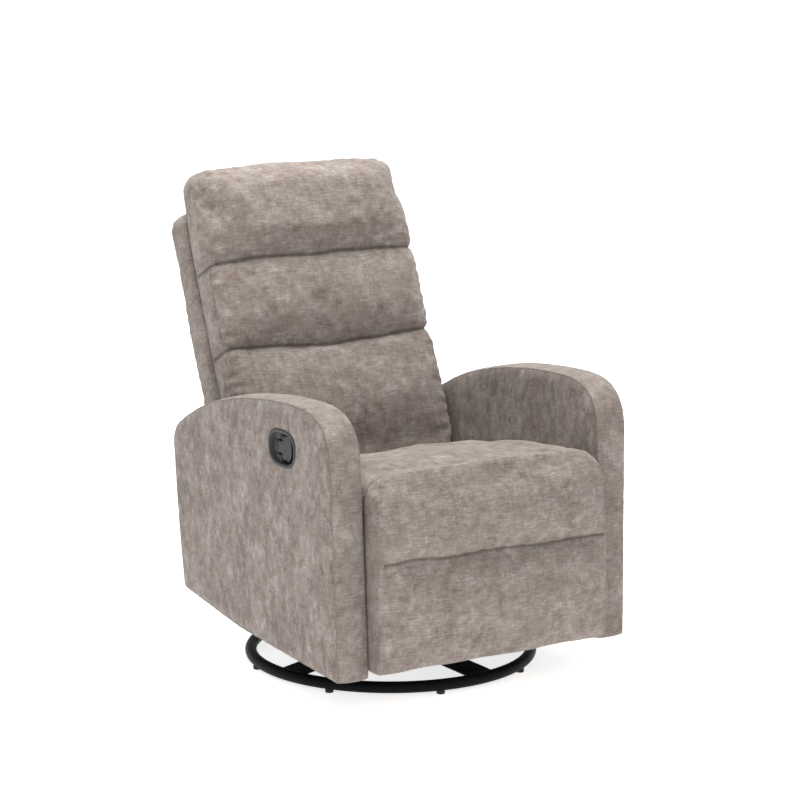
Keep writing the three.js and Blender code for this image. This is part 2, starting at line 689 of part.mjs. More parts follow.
// A plate screwed to the back of the legrest board, with a stud for the leg link.
function legBracket(name, side) {
  const [y, z] = LEG_PIVOT;
  const back = LEG_BOARD_BACK + GAP;
  const shape = outline([[back, z - 40], [y + 10, z - 10], [y + 10, z + 10], [back, z + 40]]);
  const stud = sideBar(side, LEG_LINK_X - 0.5, LEG_BRACKET_X + 1, y, z, STUD);
  return mesh(`leg_bracket_${name}`, join(sidePlate(shape, side, LEG_BRACKET_X), stud), STEEL_FINISH);
}

function legrest() {
  const group = new THREE.Group();
  const front = LEG_BOARD_BACK - LEG_BOARD_THICK;
  const board = box(-LEG_BOARD_HALF_X, LEG_BOARD_HALF_X, front, LEG_BOARD_BACK,
    LEG_PAD_LOW + 6, LEG_PAD_TOP - 8);
  const pad = paddedSlab(-SOFT_HALF_X, SOFT_HALF_X, LEG_PAD_LOW, LEG_PAD_TOP,
    LEG_PAD_FRONT, front - GAP, 30, 10);
  group.add(mesh('legrest_board', board, PLYWOOD), mesh('legrest_pad', pad, FABRIC), driveTube());
  for (const [name, side] of SIDES) {
    group.add(legBracket(name, side), driveLink(name, side), legLink(name, side));
  }
  return group;
}

const chair = new THREE.Group();
chair.add(base(), platform(), carriage(), seat(), back(), legrest());

export default chair;
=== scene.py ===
"""The looks of a swivel glider recliner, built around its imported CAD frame.

Metres, +Z up, the seat faces -Y and the sitter's right is -X. Soft pieces are made in flat
local coordinates, swollen by a short cloth simulation and then sewn: seams, channels and
puckers are carved along lines that are worked out from the frame.
"""
import json
import math

import bmesh
import bpy
import numpy as np
from mathutils import Matrix, Vector


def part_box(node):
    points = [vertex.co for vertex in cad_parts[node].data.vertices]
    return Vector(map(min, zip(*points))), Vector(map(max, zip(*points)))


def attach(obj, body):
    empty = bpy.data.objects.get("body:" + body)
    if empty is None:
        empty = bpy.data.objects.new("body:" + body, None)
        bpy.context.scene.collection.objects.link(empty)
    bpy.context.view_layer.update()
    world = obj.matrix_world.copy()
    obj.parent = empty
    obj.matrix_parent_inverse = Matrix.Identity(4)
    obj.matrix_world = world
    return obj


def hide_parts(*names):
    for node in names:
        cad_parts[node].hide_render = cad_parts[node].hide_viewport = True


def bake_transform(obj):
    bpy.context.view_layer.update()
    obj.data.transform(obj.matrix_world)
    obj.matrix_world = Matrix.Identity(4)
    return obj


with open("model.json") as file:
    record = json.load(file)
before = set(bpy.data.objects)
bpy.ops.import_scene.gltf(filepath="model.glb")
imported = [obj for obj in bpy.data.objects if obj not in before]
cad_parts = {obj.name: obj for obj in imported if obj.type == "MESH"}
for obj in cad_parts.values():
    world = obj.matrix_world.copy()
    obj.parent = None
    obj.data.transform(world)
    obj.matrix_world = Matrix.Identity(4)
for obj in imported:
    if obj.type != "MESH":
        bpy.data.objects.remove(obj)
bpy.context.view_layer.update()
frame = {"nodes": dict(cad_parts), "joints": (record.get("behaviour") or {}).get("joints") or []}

# ---- driving dimensions ----
MM = 0.001
BACK_TILT = math.radians(22)
SEAT_SLOPE = math.radians(8.8)
SEAT_HINGE_Y, SEAT_HINGE_Z = -0.384, 0.379  # origin of the sloped seat's own frame
VOXEL = 0.0052  # remesh size of the cushions
SIM_FRAMES = 20
PRESSURE = 4.0
ARM_POINTS = 420  # points round an arm's outline
SIDES = (("right", -1), ("left", 1))

CAMERA_TARGET = (0.012, -0.059, 0.5705)
CAMERA_AZIMUTH = math.radians(-31.7)
CAMERA_ELEVATION = math.radians(11.36)
CAMERA_DISTANCE = 6.5
CAMERA_LENS = 136.4
WORLD_LIGHT = 0.52  # what the white surroundings give the chair; the camera sees them at 1


def pivot(joint):
    """Where a joint's axis is at rest."""
    return Vector(next(j for j in frame["joints"] if j["name"] == joint)["pos_m"])


def tilted(y, z, angle):
    """The matrix of a frame at y and z whose up axis leans back by angle."""
    return Matrix.Translation((0, y, z)) @ Matrix.Rotation(-angle, 4, "X")


BACK = tilted(pivot("recline").y, pivot("recline").z, BACK_TILT)
SEAT = tilted(SEAT_HINGE_Y, SEAT_HINGE_Z, SEAT_SLOPE)


def local_box(node, matrix):
    """Lowest and highest corner of a CAD node in the frame that matrix places."""
    back = np.array(matrix.inverted())
    co = np.array([v.co for v in frame["nodes"][node].data.vertices], float)
    co = co @ back[:3, :3].T + back[:3, 3]
    return co.min(0), co.max(0)


# ---- arrays and meshes ----
def smooth_field(co, wavelength, seed, waves=14):
    """A smooth random height of about one unit over points, the same on each run."""
    rng = np.random.default_rng(seed)
    turn = rng.normal(size=(waves, 3))
    turn /= np.linalg.norm(turn, axis=1)[:, None]
    turn *= (2 * math.pi / wavelength) * rng.uniform(0.7, 1.3, waves)[:, None]
    phase = rng.uniform(0, 2 * math.pi, waves)
    return np.sin(co @ turn.T + phase).sum(1) / math.sqrt(waves / 2)


def bump(distance, width):
    """A soft ridge: 1 on a line and 0 a few widths from it."""
    return np.exp(-(distance / width) ** 2)


def ramp(x, low, high):
    """0 below low, 1 above high and smooth between them."""
    t = np.clip((x - low) / (high - low), 0, 1)
    return t * t * (3 - 2 * t)


def fade(x, low, high):
    """1 below low, 0 above high and smooth between them."""
    return 1 - ramp(x, low, high)


def crown(t, sharp=2.6, fullness=0.6):
    """A pillow's height across it: 0 at t -1 and 1, and 1 in the middle."""
    return np.clip(1 - np.abs(np.clip(t, -1, 1)) ** sharp, 0, 1) ** fullness


def new_object(name, co, faces, look=None, smooth=True):
    data = bpy.data.meshes.new(name)
    data.from_pydata([tuple(p) for p in co], [], [tuple(f) for f in faces])
    data.validate()
    obj = bpy.data.objects.new(name, data)
    bpy.context.scene.collection.objects.link(obj)
    finish_mesh(obj, look, smooth)
    return obj


def finish_mesh(obj, look=None, smooth=True):
    """Turns the faces outwards, shades them and gives the mesh its material."""
    bm = bmesh.new()
    bm.from_mesh(obj.data)
    bmesh.ops.recalc_face_normals(bm, faces=bm.faces)
    bm.to_mesh(obj.data)
    bm.free()
    obj.data.polygons.foreach_set("use_smooth", [smooth] * len(obj.data.polygons))
    if look is not None:
        obj.data.materials.clear()
        obj.data.materials.append(look)
    obj.data.update()


def merge_points(obj):
    """Joins the points that a pole or a closed end has doubled."""
    bm = bmesh.new()
    bm.from_mesh(obj.data)
    bmesh.ops.remove_doubles(bm, verts=bm.verts, dist=1e-6)
    bm.to_mesh(obj.data)
    bm.free()


def vectors(items, field):
    """One vector of each of a mesh's vertices or faces."""
    out = np.zeros(len(items) * 3, np.float32)
    items.foreach_get(field, out)
    return out.reshape(-1, 3).astype(float)


def points(obj):
    """A mesh's vertices, one to a row. After x, y, z = co.T a change to x changes co as well."""
    return vectors(obj.data.vertices, "co")


def set_points(obj, co):
    obj.data.vertices.foreach_set("co", co.astype(np.float32).ravel())
    obj.data.update()


def raised(obj, co, height):
    """Points moved along the surface's normals by a height for each vertex."""
    return co + vectors(obj.data.vertices, "normal") * height[:, None]


def set_values(obj, name, values):
    """Stores one number or one vector for each vertex, for the materials to read."""
    kind = "FLOAT" if values.ndim == 1 else "FLOAT_VECTOR"
    attribute = obj.data.attributes.new(name, kind, "POINT")
    field = "value" if values.ndim == 1 else "vector"
    attribute.data.foreach_set(field, values.astype(np.float32).ravel())


def apply_modifiers(obj):
    graph = bpy.context.evaluated_depsgraph_get()
    made = bpy.data.meshes.new_from_object(obj.evaluated_get(graph))
    obj.modifiers.clear()
    old = obj.data
    obj.data = made
    bpy.data.meshes.remove(old)


def place(obj, matrix):
    """Moves a piece from its own flat frame to where it sits on the chair."""
    obj.data.transform(matrix)
    obj.data.update()


def modify(obj, kind, **settings):
    modifier = obj.modifiers.new(kind.lower(), kind)
    for key, value in settings.items():
        setattr(modifier, key, value)
    apply_modifiers(obj)


def relax(obj, rounds):
    modify(obj, "SMOOTH", factor=0.5, iterations=rounds)


def refine(obj):
    modify(obj, "SUBSURF", levels=1, render_levels=1)


def grid_faces(rows, columns, close_rows=False, close_columns=False):
    """Quads of a grid of vertices that is numbered row by row."""
    faces = []
    for i in range(rows if close_rows else rows - 1):
        for j in range(columns if close_columns else columns - 1):
            i2, j2 = (i + 1) % rows, (j + 1) % columns
            faces.append((i * columns + j, i2 * columns + j, i2 * columns + j2, i * columns + j2))
    return faces


def capped_faces(rows, columns):
    """A grid that is closed round its columns, with a face across its first and last row."""
    ends = [tuple(range(columns)), tuple(range((rows - 1) * columns, rows * columns))]
    return grid_faces(rows, columns, close_columns=True) + ends


def bezier(controls, count):
    """Points along one Bezier curve, without its last point."""
    controls = np.array(controls, float)
    n = len(controls) - 1
    t = np.linspace(0, 1, count, endpoint=False)[:, None]
    return sum(math.comb(n, k) * t ** k * (1 - t) ** (n - k) * controls[k] for k in range(n + 1))


def spaced(loop, count):
    """A closed line through the same places, with its points evenly spaced."""
    closed = np.vstack([loop, loop[:1]])
    along = np.concatenate([[0], np.cumsum(np.linalg.norm(np.diff(closed, axis=0), axis=1))])
    at = np.linspace(0, along[-1], count, endpoint=False)
    return np.column_stack([np.interp(at, along, closed[:, k]) for k in range(2)])


def softened(loop, reach):
    """Rounds a closed line's corners; reach is in points."""
    span = np.arange(-3 * reach, 3 * reach + 1)
    weight = np.exp(-(span / reach) ** 2)
    weight /= weight.sum()
    return sum(w * np.roll(loop, -s, axis=0) for w, s in zip(weight, span))


def outward(loop):
    """Unit normals of a closed counter-clockwise line, pointing out."""
    step = np.roll(loop, -1, axis=0) - np.roll(loop, 1, axis=0)
    step /= np.linalg.norm(step, axis=1)[:, None]
    return np.column_stack([step[:, 1], -step[:, 0]])


def loop_through(corners, count, reach):
    """A closed line through a few corners, softened and evenly spaced."""
    line = spaced(np.array(corners, float), count)
    return spaced(softened(line, reach), count)


def slab(name, loop, low, high, radius, axes, rows=7, high_radius=None):
    """A closed pad: an outline swept from low to high with its two rims rounded by radius.
    axes says which coordinates the outline's two numbers and the sweep go to."""
    out = outward(loop)
    turns = np.linspace(0, math.pi / 2, rows)
    far = radius if high_radius is None else high_radius
    rings = [(low + radius * (1 - math.sin(a)), radius * (1 - math.cos(a))) for a in turns[::-1]]
    rings += [(high - far * (1 - math.sin(a)), far * (1 - math.cos(a))) for a in turns]
    co = []
    for depth, inset in rings:
        ring = loop - out * inset
        block = np.zeros((len(loop), 3))
        block[:, axes[0]] = ring[:, 0]
        block[:, axes[1]] = ring[:, 1]
        block[:, axes[2]] = depth
        co.append(block)
    return new_object(name, np.vstack(co), capped_faces(len(rings), len(loop)))


def remesh(obj, size=VOXEL):
    modify(obj, "REMESH", mode="VOXEL", voxel_size=size)
    relax(obj, rounds=4)


def inflate(obj, free, cap):
    """Swells a pad by cloth simulation. free is 0 where the cover is sewn or hidden and 1 where
    it may move; no point ends further than cap from where it started."""
    start = points(obj)
    group = obj.vertex_groups.new(name="sewn")
    held = 1 - np.clip(free, 0, 1)
    for step in range(11):
        chosen = np.nonzero(np.round(held * 10).astype(int) == step)[0].tolist()
        if chosen:
            group.add(chosen, step / 10, "REPLACE")
    cloth = obj.modifiers.new("cloth", "CLOTH")
    settings = cloth.settings
    settings.quality = 4
    settings.mass = 0.3
    settings.tension_stiffness = settings.compression_stiffness = 12
    settings.shear_stiffness = 5
    settings.bending_stiffness = 0.4
    settings.use_pressure = True
    settings.uniform_pressure_force = PRESSURE
    settings.effector_weights.gravity = 0
    settings.vertex_group_mass = group.name
    settings.shrink_min = -0.02
    cloth.collision_settings.use_collision = False
    cloth.collision_settings.use_self_collision = False
    scene = bpy.context.scene
    cloth.point_cache.frame_start = 1
    cloth.point_cache.frame_end = SIM_FRAMES
    for number in range(1, SIM_FRAMES + 1):
        scene.frame_set(number)
    apply_modifiers(obj)
    scene.frame_set(1)
    obj.vertex_groups.clear()
    moved = points(obj) - start
    length = np.linalg.norm(moved, axis=1)
    scale = np.minimum(1, cap / np.maximum(length, 1e-9))
    set_points(obj, start + moved * scale[:, None])


# ---- materials ----
class Shader:
    """A principled material that is put together node by node."""

    def __init__(self, name):
        self.material = bpy.data.materials.new(name)
        self.material.use_nodes = True
        self.tree = self.material.node_tree
        self.shader = self.tree.nodes["Principled BSDF"]

    def node(self, kind, **settings):
        made = self.tree.nodes.new(kind)
        for key, value in settings.items():
            setattr(made, key, value)
        return made

    def link(self, source, target):
        self.tree.links.new(source, target)

    def filled(self, node, **values):
        """A node with numbers on its sockets, whose names are spelt with underscores."""
        for key, value in values.items():
            node.inputs[key.replace("_", " ")].default_value = value
        return node

    def fix(self, **values):
        """Values that are the same all over, on the shader's own sockets."""
        self.filled(self.shader, **values)

    def object_place(self):
        return self.node("ShaderNodeTexCoord").outputs["Object"]

    def attribute(self, name):
        return self.node("ShaderNodeAttribute", attribute_name=name)

    def noise(self, place, scale, stretch=(1, 1, 1), detail=3.0, roughness=0.55, distortion=0.0):
        """Noise with `scale` spots to the metre, squeezed by stretch along each axis."""
        mapping = self.filled(self.node("ShaderNodeMapping"), Scale=stretch)
        self.link(place, mapping.inputs["Vector"])
        noise = self.filled(self.node("ShaderNodeTexNoise"), Scale=scale, Detail=detail,
                            Roughness=roughness, Distortion=distortion)
        self.link(mapping.outputs["Vector"], noise.inputs["Vector"])
        return noise.outputs["Fac"]

    def math(self, operation, a, b=None, clamp=False):
        node = self.node("ShaderNodeMath", operation=operation, use_clamp=clamp)
        for socket, value in zip(node.inputs, (a, b)):
            if isinstance(value, (int, float)):
                socket.default_value = value
            elif value is not None:
                self.link(value, socket)
        return node.outputs[0]

    def spread(self, value, low, high, to_low=0.0, to_high=1.0):
        node = self.filled(self.node("ShaderNodeMapRange", clamp=True), From_Min=low,
                           From_Max=high, To_Min=to_low, To_Max=to_high)
        self.link(value, node.inputs["Value"])
        return node.outputs["Result"]

    def tones(self, value, stops):
        """A colour ramp from (position, colour) pairs."""
        node = self.node("ShaderNodeValToRGB")
        elements = node.color_ramp.elements
        while len(elements) < len(stops):
            elements.new(0.5)
        for element, (position, colour) in zip(elements, stops):
            element.position = position
            element.color = (*colour, 1)
        self.link(value, node.inputs["Fac"])
        return node.outputs["Color"]

    def mix(self, factor, a, b, blend="MIX"):
        node = self.node("ShaderNodeMix", data_type="RGBA", blend_type=blend)
        sockets = (node.inputs["Factor"], node.inputs[6], node.inputs[7])
        for socket, value in zip(sockets, (factor, a, b)):
            if isinstance(value, (int, float)):
                socket.default_value = value
            elif isinstance(value, tuple):
                socket.default_value = (*value, 1)
            else:
                self.link(value, socket)
        return node.outputs[2]

    def relief(self, *layers):
        """Bumps from (height, distance, strength) layers, coarse ones first."""
        normal = None
        for height, distance, strength in layers:
            node = self.filled(self.node("ShaderNodeBump"), Distance=distance, Strength=strength)
            self.link(height, node.inputs["Height"])
            if normal is not None:
                self.link(normal, node.inputs["Normal"])
            normal = node.outputs["Normal"]
        self.link(normal, self.shader.inputs["Normal"])

    def bands(self, place, **values):
        """Stripes along Y."""
        wave = self.node("ShaderNodeTexWave", wave_type="BANDS", bands_direction="Y")
        self.link(place, self.filled(wave, **values).inputs["Vector"])
        return wave.outputs["Fac"]

    def colour(self, value):
        self.link(value, self.shader.inputs["Base Color"])

    def roughness(self, value):
        self.link(value, self.shader.inputs["Roughness"])


def chenille(name, cloud_scale=1.0, cloud_stretch=(1, 1, 1), weft_share=0.27, warp_share=0.17,
             half_range=0.145, painted_shade=0.0):
    """Crushed chenille: cloudy nap, threads that run both ways, slubs and a fine rib.
    It reads cloth_place, whose X runs along the weft, and a seam mask, which is 1 in a seam and darkens
    the cloth there as painted shade in the groove."""
    s = Shader(name)
    place = s.attribute("cloth_place").outputs["Vector"]
    seam_and_shade = s.attribute("seam_and_shade").outputs["Fac"]
    cloud = s.noise(place, 13 * cloud_scale, cloud_stretch, detail=3, roughness=0.6,
                    distortion=0.3)
    patch = s.noise(place, 42 * cloud_scale, cloud_stretch, detail=5, roughness=0.66,
                    distortion=0.2)
    weft = s.noise(place, 105, (0.42, 2.5, 1), detail=3, roughness=0.62)
    warp = s.noise(place, 105, (2.5, 0.42, 1), detail=3, roughness=0.62)
    slub = s.noise(place, 300, (0.4, 2.4, 1), detail=1)
    fibre = s.noise(place, 1500, detail=2)
    layers = ((cloud, 0.22), (patch, 0.33), (weft, weft_share), (warp, warp_share), (slub, 0.13),
              (fibre, 0.05))
    tone = None
    for layer, share in layers:
        part = s.math("MULTIPLY", layer, share)
        tone = part if tone is None else s.math("ADD", tone, part)
    middle = sum(share for _, share in layers) / 2
    # a shift above 0 darkens the whole cloth as painted shade; the arm panels' copy uses it
    tone = s.spread(tone, middle + painted_shade - half_range, middle + painted_shade + half_range)
    colour = s.tones(tone, [
        (0.0, (0.104, 0.080, 0.067)), (0.33, (0.176, 0.143, 0.124)),
        (0.62, (0.246, 0.212, 0.188)), (1.0, (0.368, 0.337, 0.309))])
    warm = s.noise(place, 19, (1, 1, 1), detail=3)
    colour = s.mix(s.spread(warm, 0.42, 0.66, 0.0, 0.3), colour, (0.180, 0.135, 0.113))
    # painted shade: the seam mask darkens the cloth towards a dark brown in the seams' grooves
    colour = s.mix(s.math("MULTIPLY", seam_and_shade, 0.75), colour, (0.050, 0.040, 0.033))
    s.colour(colour)
    s.roughness(s.spread(tone, 0.0, 1.0, 0.98, 0.84))
    rib = s.bands(place, Scale=190, Distortion=1.6, Detail=2)
    s.relief((cloud, 0.004, 0.25), (patch, 0.0022, 0.35), (slub, 0.0012, 0.45),
             (rib, 0.0007, 0.4), (fibre, 0.0005, 0.35))
    s.fix(Sheen_Weight=0.22, Sheen_Roughness=0.45, Sheen_Tint=(0.86, 0.82, 0.78, 1),
          Specular_IOR_Level=0.25)
    return s.material


def lining(name):
    """Thin black non-woven cloth, for what is covered underneath."""
    s = Shader(name)
    place = s.object_place()
    dots = s.filled(s.node("ShaderNodeTexVoronoi", feature="DISTANCE_TO_EDGE"), Scale=420)
    s.link(place, dots.inputs["Vector"])
    fuzz = s.noise(place, 160, detail=4)
    s.colour(s.tones(fuzz, [(0.3, (0.020, 0.020, 0.021)), (0.7, (0.042, 0.041, 0.040))]))
    s.roughness(s.spread(fuzz, 0.3, 0.7, 0.85, 0.95))
    s.relief((dots.outputs["Distance"], 0.0006, 0.5), (fuzz, 0.0004, 0.3))
    return s.material


def painted(name, dark, light, gloss, shine=0.5):
    """Powder coat on steel: orange peel, faint dust, and brighter metal where it is rubbed."""
    s = Shader(name)
    place = s.object_place()
    peel = s.noise(place, 900, detail=2)
    dust = s.noise(place, 9, detail=5, roughness=0.65)
    scuff = s.noise(place, 46, (1, 1, 3), detail=6, roughness=0.7)
    edge = s.node("ShaderNodeNewGeometry").outputs["Pointiness"]
    worn = s.math("MULTIPLY", s.spread(edge, 0.53, 0.62), s.spread(scuff, 0.5, 0.68))
    base = s.tones(dust, [(0.3, dark), (0.75, light)])
    s.colour(s.mix(s.math("MULTIPLY", worn, 0.3), base, (0.10, 0.10, 0.105)))
    s.roughness(s.spread(scuff, 0.25, 0.75, gloss, gloss + 0.14))
    s.relief((peel, 0.0002, 0.3), (scuff, 0.0002, 0.12))
    s.fix(Specular_IOR_Level=shine, Metallic=0.0)
    return s.material


def plated(name):
    """Zinc plate: bright, with a fine brushed grain, spangle and dull patches."""
    s = Shader(name)
    place = s.object_place()
    grain = s.noise(place, 260, (1, 0.12, 1), detail=3)
    patch = s.noise(place, 30, detail=4)
    s.colour(s.tones(patch, [(0.3, (0.42, 0.42, 0.41)), (0.55, (0.58, 0.58, 0.58)),
                             (0.8, (0.70, 0.69, 0.66))]))
    s.roughness(s.spread(patch, 0.3, 0.7, 0.28, 0.46))
    s.relief((grain, 0.00015, 0.35), (patch, 0.0002, 0.15))
    s.fix(Metallic=1.0)
    return s.material


def timber(name):
    """Bare plywood: face grain, growth bands and glued plies on the cut edges."""
    s = Shader(name)
    place = s.object_place()
    grain = s.noise(place, 24, (0.25, 1, 6), detail=6, roughness=0.62, distortion=0.6)
    fine = s.noise(place, 420, (0.06, 1, 1), detail=3)
    ply = s.bands(place, Scale=52, Distortion=0.6)
    tone = s.math("ADD", s.math("MULTIPLY", grain, 0.75), s.math("MULTIPLY", fine, 0.25))
    base = s.tones(tone, [(0.3, (0.33, 0.21, 0.11)), (0.5, (0.46, 0.32, 0.18)),
                          (0.72, (0.58, 0.43, 0.27))])
    s.colour(s.mix(s.spread(ply, 0.5, 1.0, 0.0, 0.22), base, (0.24, 0.15, 0.08)))
    s.roughness(s.spread(fine, 0.3, 0.7, 0.62, 0.82))
    s.relief((grain, 0.0006, 0.25), (fine, 0.0003, 0.4))
    return s.material


def rubber_look(name):
    s = Shader(name)
    place = s.object_place()
    bloom = s.noise(place, 60, detail=5, roughness=0.7)
    pores = s.noise(place, 1400, detail=2)
    s.colour(s.tones(bloom, [(0.3, (0.012, 0.012, 0.012)), (0.8, (0.035, 0.034, 0.033))]))
    s.roughness(s.spread(bloom, 0.3, 0.7, 0.72, 0.9))
    s.relief((pores, 0.0002, 0.5))
    return s.material


def moulded(name):
    """Dark grey moulded plastic: spark-eroded grain, with a little polish where fingers rub."""
    s = Shader(name)
    place = s.object_place()
    grain = s.noise(place, 1900, detail=3, roughness=0.7)
    wear = s.noise(place, 70, detail=4)
    s.colour(s.tones(wear, [(0.3, (0.014, 0.0155, 0.016)), (0.75, (0.024, 0.026, 0.0265))]))
    s.roughness(s.spread(wear, 0.3, 0.7, 0.42, 0.58))
    s.relief((grain, 0.00018, 0.5))
    s.fix(Specular_IOR_Level=0.3)
    return s.material


LOOKS = {
    "chenille": chenille("chenille"),
    # the arm's side panels: the same cloth, upright, and darkened as painted shade
    "chenille_panel": chenille("chenille_panel", 1.0, (0.8, 1.15, 1), weft_share=0.18,
                               warp_share=0.14, half_range=0.095, painted_shade=0.012),
    "lining": lining("black_lining"),
    "black_paint": painted("black_powder_coat", (0.0035, 0.0036, 0.0040), (0.0065, 0.0067, 0.0072),
                           0.40, shine=0.08),
    "steel": painted("dark_satin_steel", (0.040, 0.041, 0.044), (0.066, 0.067, 0.070), 0.38),
    "zinc": plated("zinc_plate"),
    "plywood": timber("bare_plywood"),
    "rubber": rubber_look("black_rubber"),
    "dark_plastic": moulded("dark_moulded_plastic"),
}
CAD_LOOKS = {  # for each look, how the names of the CAD nodes that wear it start
    "steel": ("bearing_lower_plate", "platform_", "glide_rail", "mech_plate", "seat_plate",
              "back_bracket", "leg_bracket", "drive_tube", "release_lever_pin"),
    "zinc": ("bearing_race", "glide_rod", "glide_link", "drive_link", "leg_link", "seat_spring",
             "release_latch"),
    "plywood": ("front_rail", "rear_rail", "arm_board", "seat_frame", "back_frame",
                "legrest_board"),
    "rubber": ("release_cable",),
}


def dress_cad_nodes():
    for look, starts in CAD_LOOKS.items():
        for node_name, node in frame["nodes"].items():
            if node_name.startswith(starts):
                node.data.materials.clear()
                node.data.materials.append(LOOKS[look])


def show(obj, body, slot, *nodes):
    """Rides a finished piece on its body, in place of the CAD nodes that it stands for."""
    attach(obj, body)
    if nodes:
        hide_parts(*nodes)
    return obj


def sew(obj, co, seam_and_shade, depth):
    """Presses seams into a cover and stores where they are, where the cloth is darkened as painted
    shade; the seam mask is 0 to 1 for each vertex.
    """
    set_points(obj, raised(obj, co, -seam_and_shade * depth))
    set_values(obj, "seam_and_shade", seam_and_shade)


def finish_cover(pad, body, cloth, nodes=(), matrix=None):
    """Lays the cloth on a padded cover, puts it in its place on the chair and rides it on its
    body."""
    set_values(pad, "cloth_place", cloth)
    if matrix is not None:
        place(pad, matrix)
    finish_mesh(pad, LOOKS["chenille"])
    show(pad, body, "fabric", *nodes)


# ---- base ----
def steel_ring():
    """The ring of bent tube, with its butt weld at the back."""
    lo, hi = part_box("base_ring")
    tube = (hi.z - lo.z) / 2
    radius = (hi.x - lo.x) / 2 - tube
    middle = (lo + hi) / 2
    turns, sides = 192, 28
    co = []
    for i in range(turns):
        a = 2 * math.pi * i / turns
        weld = 0.7 * MM * math.exp(-((i - turns / 4) / 0.9) ** 2)
        for j in range(sides):
            b = 2 * math.pi * j / sides
            r = radius + (tube + weld) * math.cos(b)
            co.append((middle.x + r * math.cos(a), middle.y + r * math.sin(a),
                       middle.z + (tube + weld) * math.sin(b)))
    ring = new_object("ring_tube", co, grid_faces(turns, sides, True, True),
                      LOOKS["black_paint"])
    show(ring, "base", "black_paint", "base_ring")


def box_solid(name, width, outline):
    """A bar of the given width across X with a side outline in y and z."""
    co = [(x, y, z) for x in (-width / 2, width / 2) for y, z in outline]
    return new_object(name, co, capped_faces(2, len(outline)))


def crisp(obj, width, look):
    """Small rounded edges on flat-faced metal."""
    finish_mesh(obj, look)
    modify(obj, "BEVEL", width=width, segments=3, limit_method="ANGLE",
           angle_limit=math.radians(28), harden_normals=True)


def steel_cross():
    """Two bent straps, halved together in the middle and welded to the ring."""
    ring_lo, ring_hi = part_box("base_ring")
    lo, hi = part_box("base_cross")
    tube = (ring_hi.z - ring_lo.z) / 2
    reach = (ring_hi.x - ring_lo.x) / 2 - 2 * tube - 2.5 * MM
    thick, width, flat = 5 * MM, 66 * MM, 107 * MM  # flat: from the middle to the upper bend
    turn = math.radians(11)
    low, high = lo.z, hi.z - thick
    bend = [(-reach, low), (-flat - 8 * MM, high - 1 * MM), (-flat + 8 * MM, high)]
    under = bend + [(-y, z) for y, z in reversed(bend)]
    outline = under + [(y, z + thick) for y, z in reversed(under)]
    straps = []
    for i in range(2):
        strap = box_solid(f"cross_strap_{i}", width, outline)
        place(strap, Matrix.Translation((0, (ring_lo.y + ring_hi.y) / 2, 0))
              @ Matrix.Rotation(turn + i * math.pi / 2, 4, "Z"))
        straps.append(strap)
    combine(straps[0], straps[1], "UNION")
    cross = straps[0]
    cross.name = "base_spokes"
    crisp(cross, 1.2 * MM, LOOKS["black_paint"])
    show(cross, "base", "black_paint", "base_cross")
    for i in range(4):
        weld_bead(f"spoke_weld_{i + 1}", turn + i * math.pi / 2, reach + 1 * MM, width, low + 2 * MM)


def combine(obj, other, operation):
    """Adds another solid to a piece or cuts it away."""
    modify(obj, "BOOLEAN", object=other, operation=operation, solver="EXACT")
    bpy.data.objects.remove(other)


def weld_bead(name, angle, reach, width, z):
    """A ripple of weld metal across the end of a spoke."""
    rows, sides = 46, 10
    centre_y = (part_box("base_ring")[0].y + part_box("base_ring")[1].y) / 2
    co = []
    for i in range(rows):
        t = i / (rows - 1)
        size = (3.2 + 0.5 * math.cos(i * 2.2)) * MM * math.sqrt(max(1 - (2 * t - 1) ** 6, 0.02))
        for j in range(sides):
            b = 2 * math.pi * j / sides
            local = Vector(((t - 0.5) * width, reach + size * math.cos(b), z + size * math.sin(b)))
            turned = Matrix.Rotation(angle, 4, "Z") @ local
            co.append((turned.x, turned.y + centre_y, turned.z))
    bead = new_object(name, co, capped_faces(rows, sides), LOOKS["black_paint"])
    show(bead, "base", "black_paint")


def ring_feet():
    """Moulded rubber feet that are saddled to the tube's underside."""
    ring_lo, ring_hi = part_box("base_ring")
    tube = (ring_hi.z - ring_lo.z) / 2
    radius = (ring_hi.x - ring_lo.x) / 2 - tube
    centre = (ring_lo + ring_hi) / 2
    sides = 40
    rings = [(0.0, 0.0), (0.86, 0.0), (0.96, 0.06), (1.0, 0.2), (1.0, 0.6), (0.97, 0.92), (0.9, 1.0),
             (0.0, 1.0)]
    for number in range(1, 9):
        lo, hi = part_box(f"foot_pad_{number}")
        middle = (lo + hi) / 2
        size = (hi.x - lo.x) / 2
        co = []
        for share, level in rings:
            for j in range(sides):
                b = 2 * math.pi * j / sides
                x, y = middle.x + size * share * math.cos(b), middle.y + size * share * math.sin(b)
                off = math.hypot(x - centre.x, y - centre.y) - radius
                top = centre.z - math.sqrt(max(tube ** 2 - off ** 2, 0)) + 0.2 * MM
                top = min(top, lo.z + 10 * MM)
                co.append((x, y, lo.z + level * (top - lo.z)))
        foot = new_object(f"rubber_foot_{number}", co,
                          grid_faces(len(rings), sides, close_columns=True), LOOKS["rubber"])
        merge_points(foot)
        show(foot, "base", "rubber", f"foot_pad_{number}")


# ---- arms ----
ARM_FRONT = (-0.416, 0.082)
ARM_KNEE = (0.000, 0.104)  # where the bottom edge bends
ARM_REAR = (0.250, 0.138)
ARM_SHOULDER = (0.282, 0.470)
ARM_TOP_Z = 0.634
ARM_SPLAY = 0.017  # how far the arms lean outwards for each unit of height
ARM_RIM = 2.6 * MM  # how far the sewn edges lie inside the outline
ARM_CREST = 2.4 * MM  # how far the band's middle stands outside it


